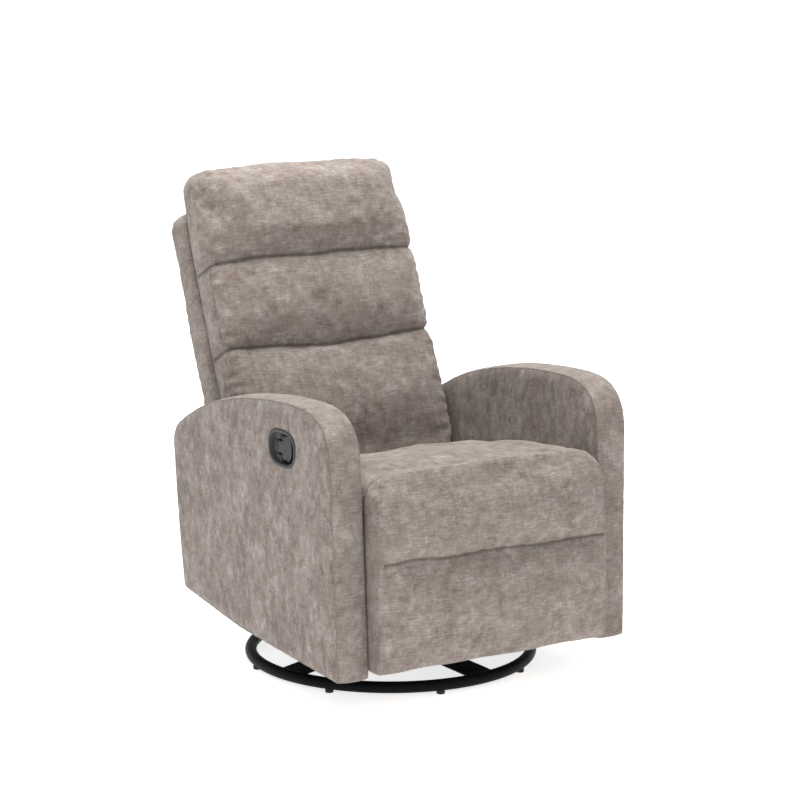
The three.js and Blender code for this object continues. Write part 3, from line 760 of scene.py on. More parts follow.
def arm_outline():
    """An arm's side outline in y and z, anticlockwise from the bottom front corner."""
    crest = (-0.265, ARM_TOP_Z)
    nape = (0.238, 0.518)
    brow = (-0.400, 0.535)
    parts = [
        bezier([ARM_FRONT, ARM_KNEE], 75),
        bezier([ARM_KNEE, ARM_REAR], 45),
        bezier([ARM_REAR, (0.272, 0.280), ARM_SHOULDER], 60),
        bezier([ARM_SHOULDER, (0.272, 0.503), nape], 12),
        bezier([nape, (0.075, 0.616), (-0.165, ARM_TOP_Z), crest], 90),
        bezier([crest, (-0.320, ARM_TOP_Z), (-0.393, 0.625), brow], 48),
        bezier([brow, ARM_FRONT], 80),
    ]
    loop = spaced(np.vstack(parts), ARM_POINTS)
    return spaced(softened(loop, 2), ARM_POINTS)


def arm(name, side):
    """An arm's cover: a crowned band round the edge between two flat sewn side panels."""
    lo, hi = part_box("arm_pad_left")
    inner, outer = lo.x, hi.x - ARM_SPLAY * (hi.z - 5 * MM - lo.z)
    middle, half = (inner + outer) / 2, (outer - inner) / 2
    loop = arm_outline()
    out = outward(loop)
    count = len(loop)
    step = np.linalg.norm(loop[1] - loop[0])
    along = np.arange(count) * step
    under = ramp(-out[:, 1], 0.5, 0.9)
    heart = loop.mean(0)

    columns = np.sin(np.linspace(-math.pi / 2, math.pi / 2, 21))
    shrink = np.concatenate([[0.0055, 0.013, 0.024, 0.040, 0.062, 0.09], np.linspace(0.125, 0.985, 27)])
    co, seam_and_shade, cloth = [], [], []

    def add(ring, x, seam_shade, place):
        co.append(np.column_stack([np.broadcast_to(x, count), ring]))
        seam_and_shade.append(np.broadcast_to(seam_shade, count))
        cloth.append(np.column_stack(place))

    rim_loop = loop - out * (ARM_RIM + 0.7 * MM)
    edge_wave = smooth_field(np.column_stack([along, along * 0, along * 0]), 0.09, 11 + side)

    def panel(face):
        """Rings from the middle of one side panel out to its seam."""
        rings = []
        for f in shrink[::-1]:
            ring = heart + (rim_loop - heart) * (1 - f)
            inside = f * np.linalg.norm(rim_loop - heart, axis=1)
            puff = -0.6 * MM + 4.4 * MM * (1 - np.exp(-inside / (12 * MM)))
            spot = np.column_stack([np.full(count, face * 0.3), ring])
            wave = 0.7 * smooth_field(spot, 0.21, 5) + 0.35 * smooth_field(spot, 0.075, 6)
            pucker = 0.4 * np.sin(along / (9 * MM) + 2 * edge_wave) * bump(inside, 16 * MM)
            puff = puff + MM * (wave * (1 - np.exp(-inside / (30 * MM))) + pucker)
            x = side * middle + face * (half + puff)
            # painted shade: the seam mask darkens the panel's cloth in a narrow strip along its sewn
            # edge
            dark = 0.15 * bump(inside, 2.2 * MM)
            rings.append((ring, x, dark, (ring[:, 1] + 0.7 * face, ring[:, 0], 0 * x + face)))
        return rings

    low_face, high_face = (-1, 1)
    for args in panel(low_face):
        add(*args)
    for t in columns:
        rise = crown(np.full(count, t), 2.6, 0.75)
        crest = ARM_CREST + 0.8 * MM * smooth_field(
            np.column_stack([along, np.full(count, t * 0.03), along * 0]), 0.16, 21 + side)
        crest = crest * (1 - under) + 0.5 * MM * under
        lift = -ARM_RIM + (ARM_RIM + crest) * rise
        on_seam = abs(t) > 0.999
        lift = lift - (0.7 * MM if on_seam else 0)
        x = side * middle + (half - (0.6 * MM if on_seam else 0)) * t
        pucker = 0.35 * MM * np.sin(along / (5.5 * MM) + 3 * edge_wave)
        lift = lift + pucker * bump((1 - abs(t)) * half, 9 * MM) * (0 if on_seam else 1)
        ring = loop + out * lift[:, None]
        # painted shade: the seam mask darkens the band's cloth on its seams and just beside them
        dark = 0.3 if on_seam else 0.15 * math.exp(-(((1 - abs(t)) * half) / (2.0 * MM)) ** 2)
        add(ring, np.full(count, x), dark, (np.full(count, x), along, lift * 0 + 3))
    for args in reversed(panel(high_face)):
        add(*args)

    rows = len(co)
    vertices = np.vstack(co)
    faces = grid_faces(rows, count, close_columns=True)
    centres = [(side * middle + face * (half + 3 * MM), *heart) for face in (low_face, high_face)]
    first, last = len(vertices), len(vertices) + 1
    vertices = np.vstack([vertices, centres])
    faces += [(first, (j + 1) % count, j) for j in range(count)]
    base = (rows - 1) * count
    faces += [(last, base + j, base + (j + 1) % count) for j in range(count)]
    cover = new_object(f"arm_cover_{name}", vertices, faces)
    set_values(cover, "seam_and_shade", np.concatenate([np.concatenate(seam_and_shade), [0, 0]]))
    ends = [(heart[1] + 0.7 * face, heart[0], face) for face in (low_face, high_face)]
    cloth = np.vstack(cloth + [np.array(ends)])
    set_values(cover, "cloth_place", cloth)
    cover.data.materials.append(LOOKS["chenille"])
    cover.data.materials.append(LOOKS["chenille_panel"])
    cover.data.materials.append(LOOKS["lining"])
    give_arm_materials(cover, side * middle, half)
    co = points(cover)
    co[:, 0] += side * ARM_SPLAY * (co[:, 2] - ARM_FRONT[1])
    set_points(cover, co)
    return cover


def give_arm_materials(cover, middle, half):
    """Panels get the upright cloth, darkened as painted shade, the band the level one, and the
    underside its lining.
    """
    centres = vectors(cover.data.polygons, "center")
    facing = vectors(cover.data.polygons, "normal")
    index = np.where(np.abs(facing[:, 0]) > 0.72, 1, 0)
    within = np.abs(centres[:, 0] - middle) < half - 3 * MM
    index = np.where((facing[:, 2] < -0.8) & within, 2, index)
    cover.data.polygons.foreach_set("material_index", index.astype(np.int32))
    cover.data.update()


def ellipse(half_a, half_b, count):
    turn = np.linspace(0, 2 * math.pi, count, endpoint=False)
    return np.column_stack([half_a * np.cos(turn), half_b * np.sin(turn)])


def squarish(half_a, half_b, count, power=2.7):
    """An oval with fuller corners than an ellipse, which has a power of 2."""
    x, y = ellipse(1, 1, count).T
    size = (np.abs(x) ** power + np.abs(y) ** power) ** (-1 / power)
    return np.column_stack([half_a * x * size, half_b * y * size])


BEZEL_RIM = 7.8 * MM  # width of the bezel's flange outside its cup


def handle_opening(cover):
    """Cuts the oval hole for the handle cup through the right arm's side panel."""
    lo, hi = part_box("handle_bezel")
    middle = (lo + hi) / 2
    half_y, half_z = (hi.y - lo.y) / 2 - BEZEL_RIM, (hi.z - lo.z) / 2 - BEZEL_RIM + 0.5 * MM
    sides = 72
    loop = squarish(half_y + 0.6 * MM, half_z + 0.6 * MM, sides)
    co = [(x, middle.y + a, middle.z + b) for x in (lo.x - 20 * MM, hi.x + 3 * MM) for a, b in loop]
    combine(cover, new_object("handle_cutter", co, capped_faces(2, sides)), "DIFFERENCE")


def bezel():
    """The oval bezel with its finger cup, moulded in one."""
    lo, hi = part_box("handle_bezel")
    middle = (lo + hi) / 2
    half_y, half_z = (hi.y - lo.y) / 2 - 1.5 * MM, (hi.z - lo.z) / 2 - 1.5 * MM
    proud = 3 * MM
    face = lo.x + ARM_SPLAY * half_z + proud
    deep = hi.x + ARM_SPLAY * half_z - face
    profile = [  # how far inside the rim, and how far out from the arm's face
        (0.0, -2 * MM), (0.0, 4.2 * MM), (0.6 * MM, 4.4 * MM), (1.9 * MM, proud + 1.5 * MM),
        (5.6 * MM, proud + 1.7 * MM), (6.9 * MM, proud + 1.2 * MM), (7.6 * MM, proud - 0.2 * MM),
        (8.2 * MM, -2 * MM), (8.6 * MM, -6 * MM), (9.2 * MM, -deep + 8 * MM),
        (10.4 * MM, -deep + 4.2 * MM)]
    profile += [(inset * MM, -deep + 2.5 * MM) for inset in range(13, 40, 2)]
    profile += [
        (39 * MM, -deep), (9.5 * MM, -deep), (8.6 * MM, -deep + 3 * MM), (8.2 * MM, -2 * MM)]
    floor_rows = range(7, 24)
    slot, plate = -11 * MM, -1.6 * MM  # depths of the lever's slot and of the plate round it
    sides = 144
    co = []
    for row, (inset, level) in enumerate(profile):
        for a, b in squarish(half_y - inset, half_z - inset, sides):
            height = level
            if row in floor_rows:
                behind = float(ramp(np.array(a), -24 * MM, -6 * MM))
                height += behind * max(slot - height, 0)
                beside = float(ramp(np.array(abs(b)), 14 * MM, 16.5 * MM))
                beside *= float(ramp(np.array(a), 9.5 * MM, 12 * MM))
                beyond = float(ramp(np.array(a), 33.5 * MM, 37 * MM))
                height += max(beside, beyond) * max(plate - height, 0)
            co.append((face - height - ARM_SPLAY * b, middle.y + a, middle.z + b))
    faces = grid_faces(len(profile), sides, close_rows=True, close_columns=True)
    cup = new_object("handle_bezel_moulding", co, faces, LOOKS["dark_plastic"])
    show(cup, "carriage", "dark_plastic", "handle_bezel")


def lever():
    """The pull: a broad rounded paddle on a short stem, with a barrel round its pin."""
    lo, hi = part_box("release_lever")
    z = (lo.z + hi.z) / 2
    front, tall = lo.y, (hi.z - lo.z) / 2
    pin = pivot("lever_pull")
    root, stem = front + 37 * MM, 12.5 * MM  # where the paddle ends, and half the stem's height
    paddle = [(front + 11 * MM, -tall), (root, -tall + 3 * MM), (root + 0.5 * MM, -stem),
              (pin.y - 2 * MM, -stem), (pin.y + 2 * MM, 0), (pin.y - 2 * MM, stem),
              (root + 0.5 * MM, stem), (root, tall - 3 * MM), (front + 11 * MM, tall),
              (front + 2 * MM, tall * 0.62), (front, 0), (front + 2 * MM, -tall * 0.62)]
    loop = loop_through(paddle, 260, 3)
    thick = 3 * MM
    plate = slab("release_paddle", loop + np.array([0, z]), pin.x - thick, pin.x + thick, 1.6 * MM,
                 (1, 2, 0), rows=5)
    co = points(plate)
    dish = 1.4 * MM * crown((co[:, 1] - front - 17 * MM) / (16 * MM)) * crown((co[:, 2] - z) / tall)
    co[:, 0] += dish * (co[:, 0] < pin.x)
    set_points(plate, co)
    finish_mesh(plate, LOOKS["dark_plastic"])
    show(plate, "lever", "dark_plastic", "release_lever")
    round_pin, reach = 4.6 * MM, 12.4 * MM  # the barrel's radius and half its length
    barrel = slab("lever_barrel", ellipse(round_pin, round_pin, 40) + np.array([pin.x, pin.y]),
                  z - reach, z + reach, 1 * MM, (0, 1, 2), rows=4)
    finish_mesh(barrel, LOOKS["dark_plastic"])
    show(barrel, "lever", "dark_plastic")


# ---- back ----
def rounded_rectangle(half, low, high, low_radius, high_radius, count=400):
    """An outline in x and height, anticlockwise, with its own radius below and above."""
    def corner(x, z, radius, start):
        turn = np.linspace(start, start + math.pi / 2, 24)
        return np.column_stack([x + radius * np.cos(turn), z + radius * np.sin(turn)])
    parts = [
        corner(half - low_radius, low + low_radius, low_radius, -math.pi / 2),
        corner(half - high_radius, high - high_radius, high_radius, 0),
        corner(-half + high_radius, high - high_radius, high_radius, math.pi / 2),
        corner(-half + low_radius, low + low_radius, low_radius, math.pi)]
    return spaced(np.vstack(parts), count)


HEAD_SEAM = 0.504  # heights of the two channel seams up the back
WAIST_SEAM = 0.316
BOX_SEAM = 21 * MM  # depth of the boxing's front seam behind the CAD pad's face


def channel_seams(x, depth, half):
    """How high the two channel seams run at each point: bowed in front, falling at the sides."""
    bow = 1 - (x / half) ** 2
    fall = 0.10 * np.maximum(depth, 0)
    return HEAD_SEAM + 6 * MM * bow - fall, WAIST_SEAM - 12 * MM * bow - fall


def back_cushion():
    """The back's three-channel cushion, with boxing down its sides below the head channel."""
    lo, hi = local_box("back_cushion", BACK)
    half, low, top, rear = hi[0], lo[2], hi[2], hi[1]
    box_seam = lo[1] + BOX_SEAM
    loop = rounded_rectangle(half, low, top - 6 * MM, low_radius=24 * MM, high_radius=36 * MM)
    pad = slab("back_cushion_cover", loop, box_seam - 14 * MM, rear, 14 * MM, (0, 2, 1),
               high_radius=8 * MM)
    remesh(pad)

    def channels(co):
        """The seams' heights, and where each point is across its own channel, from -1 to 1."""
        x, y, z = co.T
        head, waist = channel_seams(x, y - box_seam, half)
        lower = np.where(z > head, head, np.where(z > waist, waist, low))
        upper = np.where(z > head, top + 12 * MM, np.where(z > waist, head, waist))
        t = 2 * (z - lower) / (upper - lower) - 1
        return head, waist, t + 0.12 * (1 - t * t)

    co = points(pad)
    x, y, z = co.T
    head, waist, t = channels(co)
    front = fade(y, box_seam - 6 * MM, rear - 12 * MM)
    height = crown(t, 2.4, 0.62) * crown(x / half, 4.5, 0.5)
    rise = 9 * MM
    y -= height * front * rise
    flank = ramp(np.abs(x), half - 40 * MM, half) * np.sign(x)
    lumbar = fade(z, WAIST_SEAM - 20 * MM, WAIST_SEAM + 20 * MM)
    flank = flank * (crown(t, 2.2, 0.6) * (6.5 + 4 * lumbar) - 0.5)
    x += flank * MM * fade(y, 0.02, rear)
    taper = ramp(z, HEAD_SEAM + 20 * MM, top) * (1 - 0.45 * ramp(y, 0, rear))
    x *= 1 - 0.055 * taper
    z += 11 * MM * (1 - (x / half) ** 2) * ramp(z, top - 80 * MM, top)
    set_points(pad, co)

    line = np.maximum(bump(z - head, 6 * MM), bump(z - waist, 6 * MM))
    boxing = bump(y - box_seam, 5 * MM) * (z < head) * (np.abs(x) > half - 9 * MM)
    sewn = np.clip(1.6 * np.maximum(line, boxing * 0.8), 0, 1)
    free = fade(y, 0.01, rear - 20 * MM) * (1 - sewn)
    inflate(pad, free * ramp(z, low + 10 * MM, low + 60 * MM), cap=22 * MM)
    relax(pad, rounds=2)
    refine(pad)

    co = points(pad)
    x, y, z = co.T
    head, waist, t = channels(co)
    flat = np.abs(x) / half
    side = ramp(np.abs(x), half - 16 * MM, half - 4 * MM)
    wander = 1.2 * MM * smooth_field(co * (1, 0, 0), 0.11, 31)
    to_head = np.abs(z - head - wander)
    to_waist = np.abs(z - waist - wander)
    in_front = fade(y, rear - 16 * MM, rear - 8 * MM)
    near = np.minimum(to_head, to_waist)
    cross = bump(near, 3.4 * MM) * in_front
    edge = bump(y - box_seam, 2.6 * MM) * side * fade(z, head - 4 * MM, head)
    back_edge = bump(y - (rear - 9 * MM), 2.6 * MM) * ramp(flat, 0.9, 0.97)
    rim = np.maximum(edge, back_edge)
    away = np.abs(y - box_seam) + half - np.abs(x)
    pleat = smooth_field(co * (0.25, 0.3, 1), 0.021, 41) * bump(away, 34 * MM) * (z < head)
    tuck = smooth_field(co * (1, 0.3, 0.35), 0.028, 43) * bump(near, 20 * MM) * in_front
    swell = 1.5 * smooth_field(co, 0.17, 44) + 0.55 * smooth_field(co, 0.06, 45)
    push = (0.9 * pleat + 0.8 * tuck + 0.6 * swell * in_front) * MM
    co = raised(pad, co, push)
    co = raised(pad, co, -3 * MM * bump(near, 13 * MM) * in_front)
    # the seam mask is pressed in and also painted darker as shade in the channel seams, and more
    # faintly along the boxing and rear edges
    seam_and_shade = np.maximum(cross, 0.4 * rim)
    sew(pad, co, seam_and_shade, 3.2 * MM)
    finish_cover(pad, "back", co[:, [0, 2, 1]], ["back_cushion"], BACK)


def back_shell():
    """The upholstered rear shell, a thinner and lower layer behind the cushion."""
    lo, hi = local_box("back_shell", BACK)
    half, low, top = hi[0], lo[2], hi[2]
    loop = rounded_rectangle(half, low, top, low_radius=16 * MM, high_radius=34 * MM)
    pad = slab("back_shell_cover", loop, lo[1], hi[1], 8 * MM, (0, 2, 1))
    remesh(pad, 7 * MM)
    refine(pad)
    co = points(pad)
    x, y, z = co.T
    middle = crown(x / half, 3, 0.8) * crown(2 * (z - low) / (top - low) - 1, 5, 0.7)
    behind = ramp(y, hi[1] - 30 * MM, hi[1])
    lower = fade(z, low + 60 * MM, top)
    clear = ramp(z, low + 10 * MM, low + 60 * MM)
    y += (4 * middle + 6 * lower) * MM * behind * clear
    wave = 0.9 * smooth_field(co, 0.19, 51) + 0.35 * smooth_field(co, 0.07, 52)
    co = raised(pad, co, wave * 0.8 * MM)
    x, y, z = co.T
    rim = np.minimum(half - np.abs(x), np.minimum(top - z, z - low))
    outside = ramp(y, hi[1] - 22 * MM, hi[1] - 10 * MM)
    # the seam mask round the shell's edge is pressed in and also painted darker as shade
    seam_and_shade = bump(rim - 6 * MM, 2.6 * MM) * outside
    pucker = smooth_field(co, 0.024, 53) * bump(rim - 6 * MM, 14 * MM) * outside
    co = raised(pad, co, 0.45 * MM * pucker)
    sew(pad, co, seam_and_shade, 2.4 * MM)
    finish_cover(pad, "back", co[:, [0, 2, 1]] + (0, 0.9, 0.4), ["back_shell"], BACK)


def rear_panel():
    """The fixed upholstered panel low down between the arms, behind the mechanism."""
    lo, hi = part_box("rear_panel")
    lean = 17 * MM
    loop = rounded_rectangle(hi.x - 0.5 * MM, lo.z, hi.z, 6 * MM, 6 * MM)
    thick = hi.y - lo.y - lean
    pad = slab("rear_panel_cover", loop, 0.0, thick, 6 * MM, (0, 2, 1), rows=5)
    remesh(pad, 6 * MM)
    co = points(pad)
    x, y, z = co.T
    share = (z - lo.z) / (hi.z - lo.z)
    puff = crown(x / hi.x, 6, 0.7) * crown(2 * share - 1, 3, 0.7)
    y += 3 * MM * puff * ramp(y, 0, thick) + lo.y + lean * share
    co = raised(pad, co, 0.6 * MM * smooth_field(co, 0.12, 61))
    set_points(pad, co)
    set_values(pad, "seam_and_shade", np.zeros(len(co)))
    finish_cover(pad, "carriage", co[:, [0, 2, 1]] + (0, 2.1, 0.2), ["rear_panel"])


def rear_rail_wrap():
    """Fabric over thin wadding, stapled round the rear rail between the arms."""
    lo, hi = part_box("rear_rail")
    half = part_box("rear_panel")[1].x - 2 * MM
    layer = 2.5 * MM
    middle = (lo.y + hi.y) / 2
    loop = rounded_rectangle(middle - lo.y + layer, lo.z - layer, hi.z + layer, 4 * MM, 4 * MM)
    pad = slab("rear_rail_cover", loop + np.array([middle, 0]), -half, half, 3 * MM, (1, 2, 0))
    remesh(pad, 5 * MM)
    co = points(pad)
    co = raised(pad, co, 0.5 * MM * smooth_field(co, 0.09, 65))
    set_points(pad, co)
    set_values(pad, "seam_and_shade", np.zeros(len(co)))
    finish_cover(pad, "carriage", co[:, [0, 2, 1]] + (0, 2.9, 0.6))


# ---- seat and legrest ----
def corner_drop(co, half):
    """How far a cover falls away at the ends of its front edge."""
    return ramp(np.abs(co[:, 0]), half - 48 * MM, half + 12 * MM) ** 2 * 24 * MM


def seat_cushion():
    """The seat: its front edge reaches forward over the legrest's hinge to the sewn line."""
    _, hi = local_box("seat_cushion", SEAT)
    half, length, thick = hi[0], hi[1], hi[2]
    profile = [
        (6 * MM, 3 * MM), (length - 8 * MM, 3 * MM), (length, 12 * MM),
        (length + 6 * MM, thick - 34 * MM), (length - 6 * MM, thick - 6 * MM),
        (length - 30 * MM, thick), (0.20, thick + 5 * MM),
        (-20 * MM, thick + 12 * MM), (-28 * MM, thick + 7 * MM), (-14 * MM, thick - 40 * MM),
        (1 * MM, 14 * MM)]
    loop = loop_through(profile, 360, 3)
    pad = slab("seat_cushion_cover", loop, -half, half, 12 * MM, (1, 2, 0))
    remesh(pad)
    co = points(pad)
    x, y, z = co.T
    above = ramp(z, thick - 30 * MM, thick)
    across = crown(x / half, 3.2, 0.7)
    deep = crown(2 * (y + 28 * MM) / (length + 28 * MM) - 1, 5, 0.6)
    rise = 4 * MM
    z += above * across * (0.35 + 0.65 * deep) * rise
    x *= 1 + 0.03 * ramp(z, 20 * MM, thick - 20 * MM)
    lip = above * fade(y, 0, 110 * MM)
    z -= lip * corner_drop(co, half)
    set_points(pad, co)
    inside = fade(np.abs(x), half - 22 * MM, half - 4 * MM)
    free = above * ramp(y, -24 * MM, 10 * MM) * inside
    inflate(pad, free * fade(y, length - 40 * MM, length - 10 * MM), cap=22 * MM)
    relax(pad, rounds=2)
    refine(pad)
    co = points(pad)
    x, y, z = co.T
    above = ramp(z, thick - 26 * MM, thick - 6 * MM)
    swell = 1.3 * smooth_field(co, 0.15, 71) + 0.6 * smooth_field(co * (1, 0.6, 1), 0.055, 72)
    to_front = np.hypot(y + 28 * MM, z - thick - 9 * MM)
    pucker = smooth_field(co * (1, 0.3, 0.3), 0.03, 73) * bump(to_front, 26 * MM)
    co = raised(pad, co, MM * (0.8 * swell * above + 0.8 * pucker))
    x, y, z = co.T
    x[:] = np.clip(x, -half - 10 * MM, half + 10 * MM)
    to_side = np.hypot(half + 4 * MM - np.abs(x), z - thick + 8 * MM)
    # the seam mask along the front and side edges is pressed in and also painted darker as shade
    seam_and_shade = np.maximum(bump(to_front - 3 * MM, 2.6 * MM) * 0.9, 0.6 * bump(to_side - 2 * MM, 2.4 * MM))
    sew(pad, co, seam_and_shade, 1.8 * MM)
    finish_cover(pad, "seat", co + (0.05, 3.3, 0), ["seat_cushion"], SEAT)


TUCK_SEAT = (0.0755, 0.372)  # y and z of the tuck strip's edge on the seat
TUCK_BACK = (0.125, 0.3965)  # and of its edge under the back cushion
TUCK_HALF = 0.236


def tuck_strip():
    """Lining sewn from the seat to the back cushion: it hangs slack in the gap between them."""
    path = bezier([TUCK_SEAT, (0.082, 0.338), (0.116, 0.346), TUCK_BACK], 25)
    columns = 61
    co = np.array([(x, y, z) for y, z in path for x in np.linspace(-TUCK_HALF, TUCK_HALF, columns)])
    slack = np.repeat(np.sin(np.linspace(0, math.pi, len(path))), columns)
    co[:, 2] += 1.1 * MM * slack * smooth_field(co * (1, 0.2, 0.2), 0.07, 91)
    strip = new_object("tuck_strip", co, grid_faces(len(path), columns), LOOKS["lining"])
    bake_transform(strip)


LEG_SEAM_Z = 0.326  # height of the channel across the legrest
LEG_SEAM_END = 0.270  # how far from the middle the channel is sewn on the right


def legrest_pad():
    """The legrest: its face rolls back over the top to the sewn front edge of the seat."""
    lo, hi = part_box("legrest_pad")
    half, low, front, back = hi.x, lo.z, lo.y + 6 * MM, hi.y
    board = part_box("legrest_board")[1]
    behind, top = board.y + 0.8 * MM, board.z + 33 * MM
    profile = [
        (behind, low + 3 * MM), (behind, board.z - 1 * MM), (back, board.z + 4 * MM),
        (back, top - 4 * MM), (back - 2 * MM, top), (back - 11 * MM, top - 5 * MM),
        (back - 27 * MM, top - 26 * MM), (front + 15 * MM, top - 60 * MM), (front + 8 * MM, LEG_SEAM_Z),
        (front + 4 * MM, low + 90 * MM), (front + 8 * MM, low + 16 * MM), (front + 14 * MM, low)]
    loop = loop_through(profile[::-1], 360, 3)
    pad = slab("legrest_pad_cover", loop, -half - 2 * MM, half + 2 * MM, 9 * MM, (1, 2, 0))
    remesh(pad)

    def shares(co):
        """Where each point is between the ends of its own lobe, from -1 to 1."""
        upper = co[:, 2] > LEG_SEAM_Z
        base = np.where(upper, LEG_SEAM_Z, low - 20 * MM)
        end = np.where(upper, top + 20 * MM, LEG_SEAM_Z)
        return 2 * (co[:, 2] - base) / (end - base) - 1

    co = points(pad)
    x, y, z = co.T
    outer = fade(y, front + 14 * MM, back - 6 * MM)
    across = crown(x / half, 2.8, 0.75)
    rise = 9 * MM
    lobes = 0.45 + 0.55 * crown(shares(co), 2.6, 0.6)
    y -= outer * across * lobes * rise * ramp(z, low, low + 40 * MM)
    over = ramp(z, top - 40 * MM, top)
    z += over * across * 11 * MM
    z -= over * corner_drop(co, half)
    set_points(pad, co)
    line = bump(z - LEG_SEAM_Z, 6 * MM)
    line = line * fade(np.abs(x), LEG_SEAM_END - 10 * MM, LEG_SEAM_END)
    rims = fade(np.abs(x), half - 14 * MM, half - 2 * MM)
    corner = ramp(np.abs(x), half - 110 * MM, half - 30 * MM)
    rims = rims * (1 - corner * fade(z, low + 20 * MM, low + 90 * MM))
    free = np.maximum(outer, over) * rims * (1 - np.clip(1.5 * line, 0, 1))
    free = free * ramp(z, low + 4 * MM, low + 30 * MM)
    free = free * fade(y, back - 12 * MM, back - 4 * MM)
    inflate(pad, free, cap=24 * MM)
    relax(pad, rounds=2)
    refine(pad)
    co = points(pad)
    x, y, z = co.T
    outer = fade(y, front + 20 * MM, back - 2 * MM)
    sewn = fade(-x, LEG_SEAM_END - 6 * MM, LEG_SEAM_END + 2 * MM)
    sewn = sewn * fade(x, half - 8 * MM, half)
    to_line = np.abs(z - LEG_SEAM_Z - 1.5 * MM * smooth_field(co * (1, 0, 0), 0.13, 81))
    swell = 1.3 * smooth_field(co, 0.16, 82) + 0.5 * smooth_field(co, 0.06, 83)
    pucker = smooth_field(co * (1, 0.3, 0.3), 0.026, 84) * bump(to_line, 22 * MM) * sewn
    fold = bump(to_line, 15 * MM) * sewn * outer
    push = 0.8 * swell * outer + 0.9 * pucker * outer - 2.6 * fold
    co = raised(pad, co, MM * push)
    x, y, z = co.T
    x[:] = np.clip(x, -half - 2.5 * MM, half + 2.5 * MM)
    to_side = np.abs(half - 3 * MM - np.abs(x))
    rim = bump(to_side, 2.2 * MM) * bump(y - (front + 22 * MM), 9 * MM)
    # the seam mask along the channel and, faintly, the side edges is pressed in and also painted darker
    # as shade
    seam_and_shade = np.maximum(bump(to_line, 2.8 * MM) * sewn * outer, 0.35 * rim)
    sew(pad, co, seam_and_shade, 2.6 * MM)
    finish_cover(pad, "legrest", co[:, [0, 2, 1]] + (0.3, 4.4, 0), ["legrest_pad"])


# ---- fasteners of the mechanism ----
SLIDE_PINS = ((-0.200, 0.285), (0.050, 0.262))  # y and z of the seat's slide pins
LINK_JOINT = (-0.320, 0.156)  # where the two legrest links meet
GLIDE_BASE = 0.134  # length of a glide link between its pivots
ROD_END, STUD_END = 0.1582, 0.1538  # x of the faces that the rivet heads stand on
PLATE_FACE, BRACKET_FACE = 0.2672, 0.2356


def rivet(name, body, x, out, y, z, radius, tall):
    """A domed rivet head with a flat rim, standing along X from x towards out (-1 or 1)."""
    profile = [(0.0, 0.0), (1.0, 0.0), (1.0, 0.16), (0.93, 0.3), (0.78, 0.34), (0.7, 0.62),
               (0.45, 0.9), (0.2, 1.0), (0.0, 1.0)]
    sides = 28
    rim = ellipse(radius, radius, sides)
    co = [(x + out * h * tall, y + r * a, z + r * b) for r, h in profile for a, b in rim]
    head = new_object(name, co, grid_faces(len(profile), sides, close_columns=True), LOOKS["zinc"])
    merge_points(head)
    show(head, body, "zinc")


def rivets():
    """Heads on the ends of the glider's rods and studs, the links' joints and the slide pins."""
    front, rear = pivot("glide"), pivot("glide_rear")
    hinge = pivot("recline")
    for side_name, side in SIDES:
        for end_name, top in (("front", front), ("rear", rear)):
            tag = f"{end_name}_{side_name}"
            rivet(f"glide_rod_head_{tag}", "platform", side * ROD_END, side, top.y, top.z,
                  8 * MM, 3.2 * MM)
            rivet(f"glide_stud_head_{tag}", "carriage", side * STUD_END, -side, top.y,
                  top.z - GLIDE_BASE, 8 * MM, 2.8 * MM)
        rivet(f"link_joint_head_{side_name}", "drive_links", side * PLATE_FACE, side,
              *LINK_JOINT, 8 * MM, 2.8 * MM)
        rivet(f"back_hinge_head_{side_name}", "seat", side * BRACKET_FACE, -side, hinge.y,
              hinge.z, 10 * MM, 3.6 * MM)
        for number, (y, z) in enumerate(SLIDE_PINS, 1):
            rivet(f"slide_pin_head_{number}_{side_name}", "seat", side * PLATE_FACE, side,
                  y, z, 10 * MM, 3 * MM)


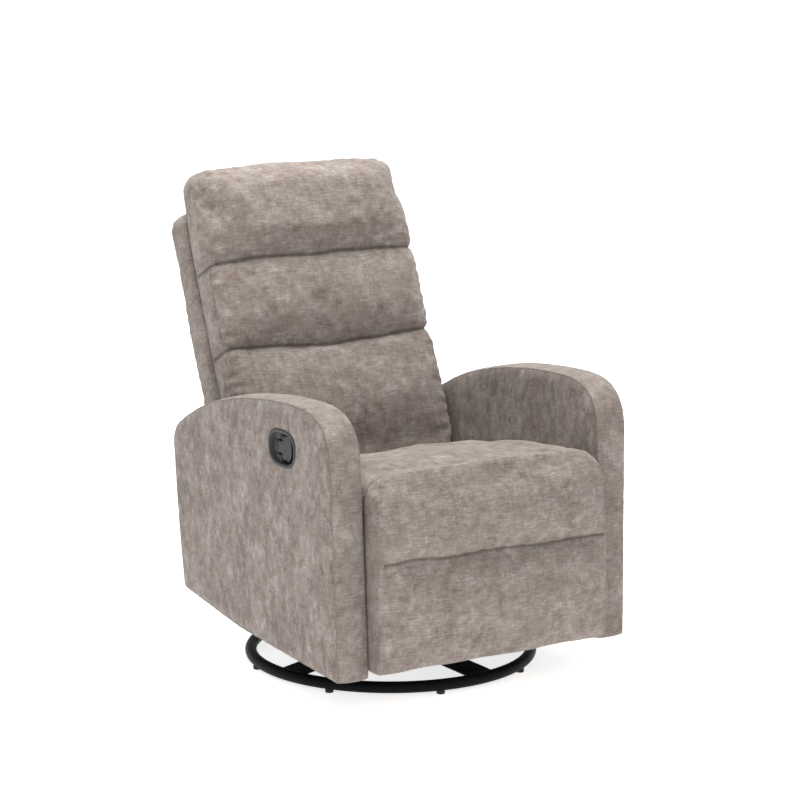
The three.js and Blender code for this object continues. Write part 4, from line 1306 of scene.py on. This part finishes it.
# ---- what the picture needs round the chair ----
def camera():
    data = bpy.data.cameras.new("camera")
    data.lens = CAMERA_LENS
    data.clip_end = 100
    made = bpy.data.objects.new("camera", data)
    bpy.context.scene.collection.objects.link(made)
    level = math.cos(CAMERA_ELEVATION)
    back = Vector((math.sin(CAMERA_AZIMUTH) * level, -math.cos(CAMERA_AZIMUTH) * level,
                   math.sin(CAMERA_ELEVATION)))
    made.location = Vector(CAMERA_TARGET) + back * CAMERA_DISTANCE
    made.rotation_euler = (-back).to_track_quat("-Z", "Y").to_euler()
    bpy.context.scene.camera = made


def soft_light(name, place, size, power):
    data = bpy.data.lights.new(name, "AREA")
    data.size = size
    data.energy = power
    made = bpy.data.objects.new(name, data)
    made.location = place
    aim = Vector(CAMERA_TARGET) - Vector(place)
    made.rotation_euler = aim.to_track_quat("-Z", "Y").to_euler()
    bpy.context.scene.collection.objects.link(made)


def studio():
    reach = 30.0
    floor = new_object("floor", [(-reach, -reach, 0), (reach, -reach, 0), (reach, reach, 0),
                                 (-reach, reach, 0)], [(0, 1, 2, 3)], smooth=False)
    s = Shader("pale_floor")
    s.fix(Base_Color=(0.93, 0.93, 0.93, 1), Roughness=0.9, Specular_IOR_Level=0.1,
          Emission_Color=(1, 1, 1, 1), Emission_Strength=0.75)
    floor.data.materials.append(s.material)
    world = bpy.data.worlds.new("studio")
    world.use_nodes = True
    background = world.node_tree.nodes["Background"]
    background.inputs["Color"].default_value = (1, 1, 1, 1)
    path = world.node_tree.nodes.new("ShaderNodeLightPath")
    level = world.node_tree.nodes.new("ShaderNodeMapRange")
    level.inputs["To Min"].default_value = WORLD_LIGHT
    level.inputs["To Max"].default_value = 1.0
    world.node_tree.links.new(path.outputs["Is Camera Ray"], level.inputs["Value"])
    world.node_tree.links.new(level.outputs["Result"], background.inputs["Strength"])
    scene = bpy.context.scene
    scene.world = world
    scene.view_settings.view_transform = "Standard"
    soft_light("key", (-2.2, -3.6, 2.9), 2.4, 55)
    soft_light("top", (0.1, 0.45, 3.9), 2.0, 205)


camera()
studio()
dress_cad_nodes()
steel_ring()
steel_cross()
ring_feet()
for arm_name, arm_side in SIDES:
    arm_cover = arm(arm_name, arm_side)
    if arm_side < 0:
        handle_opening(arm_cover)
    show(arm_cover, "carriage", "fabric", f"arm_pad_{arm_name}")
bezel()
lever()
back_shell()
back_cushion()
rear_panel()
rear_rail_wrap()
seat_cushion()
tuck_strip()
legrest_pad()
rivets()
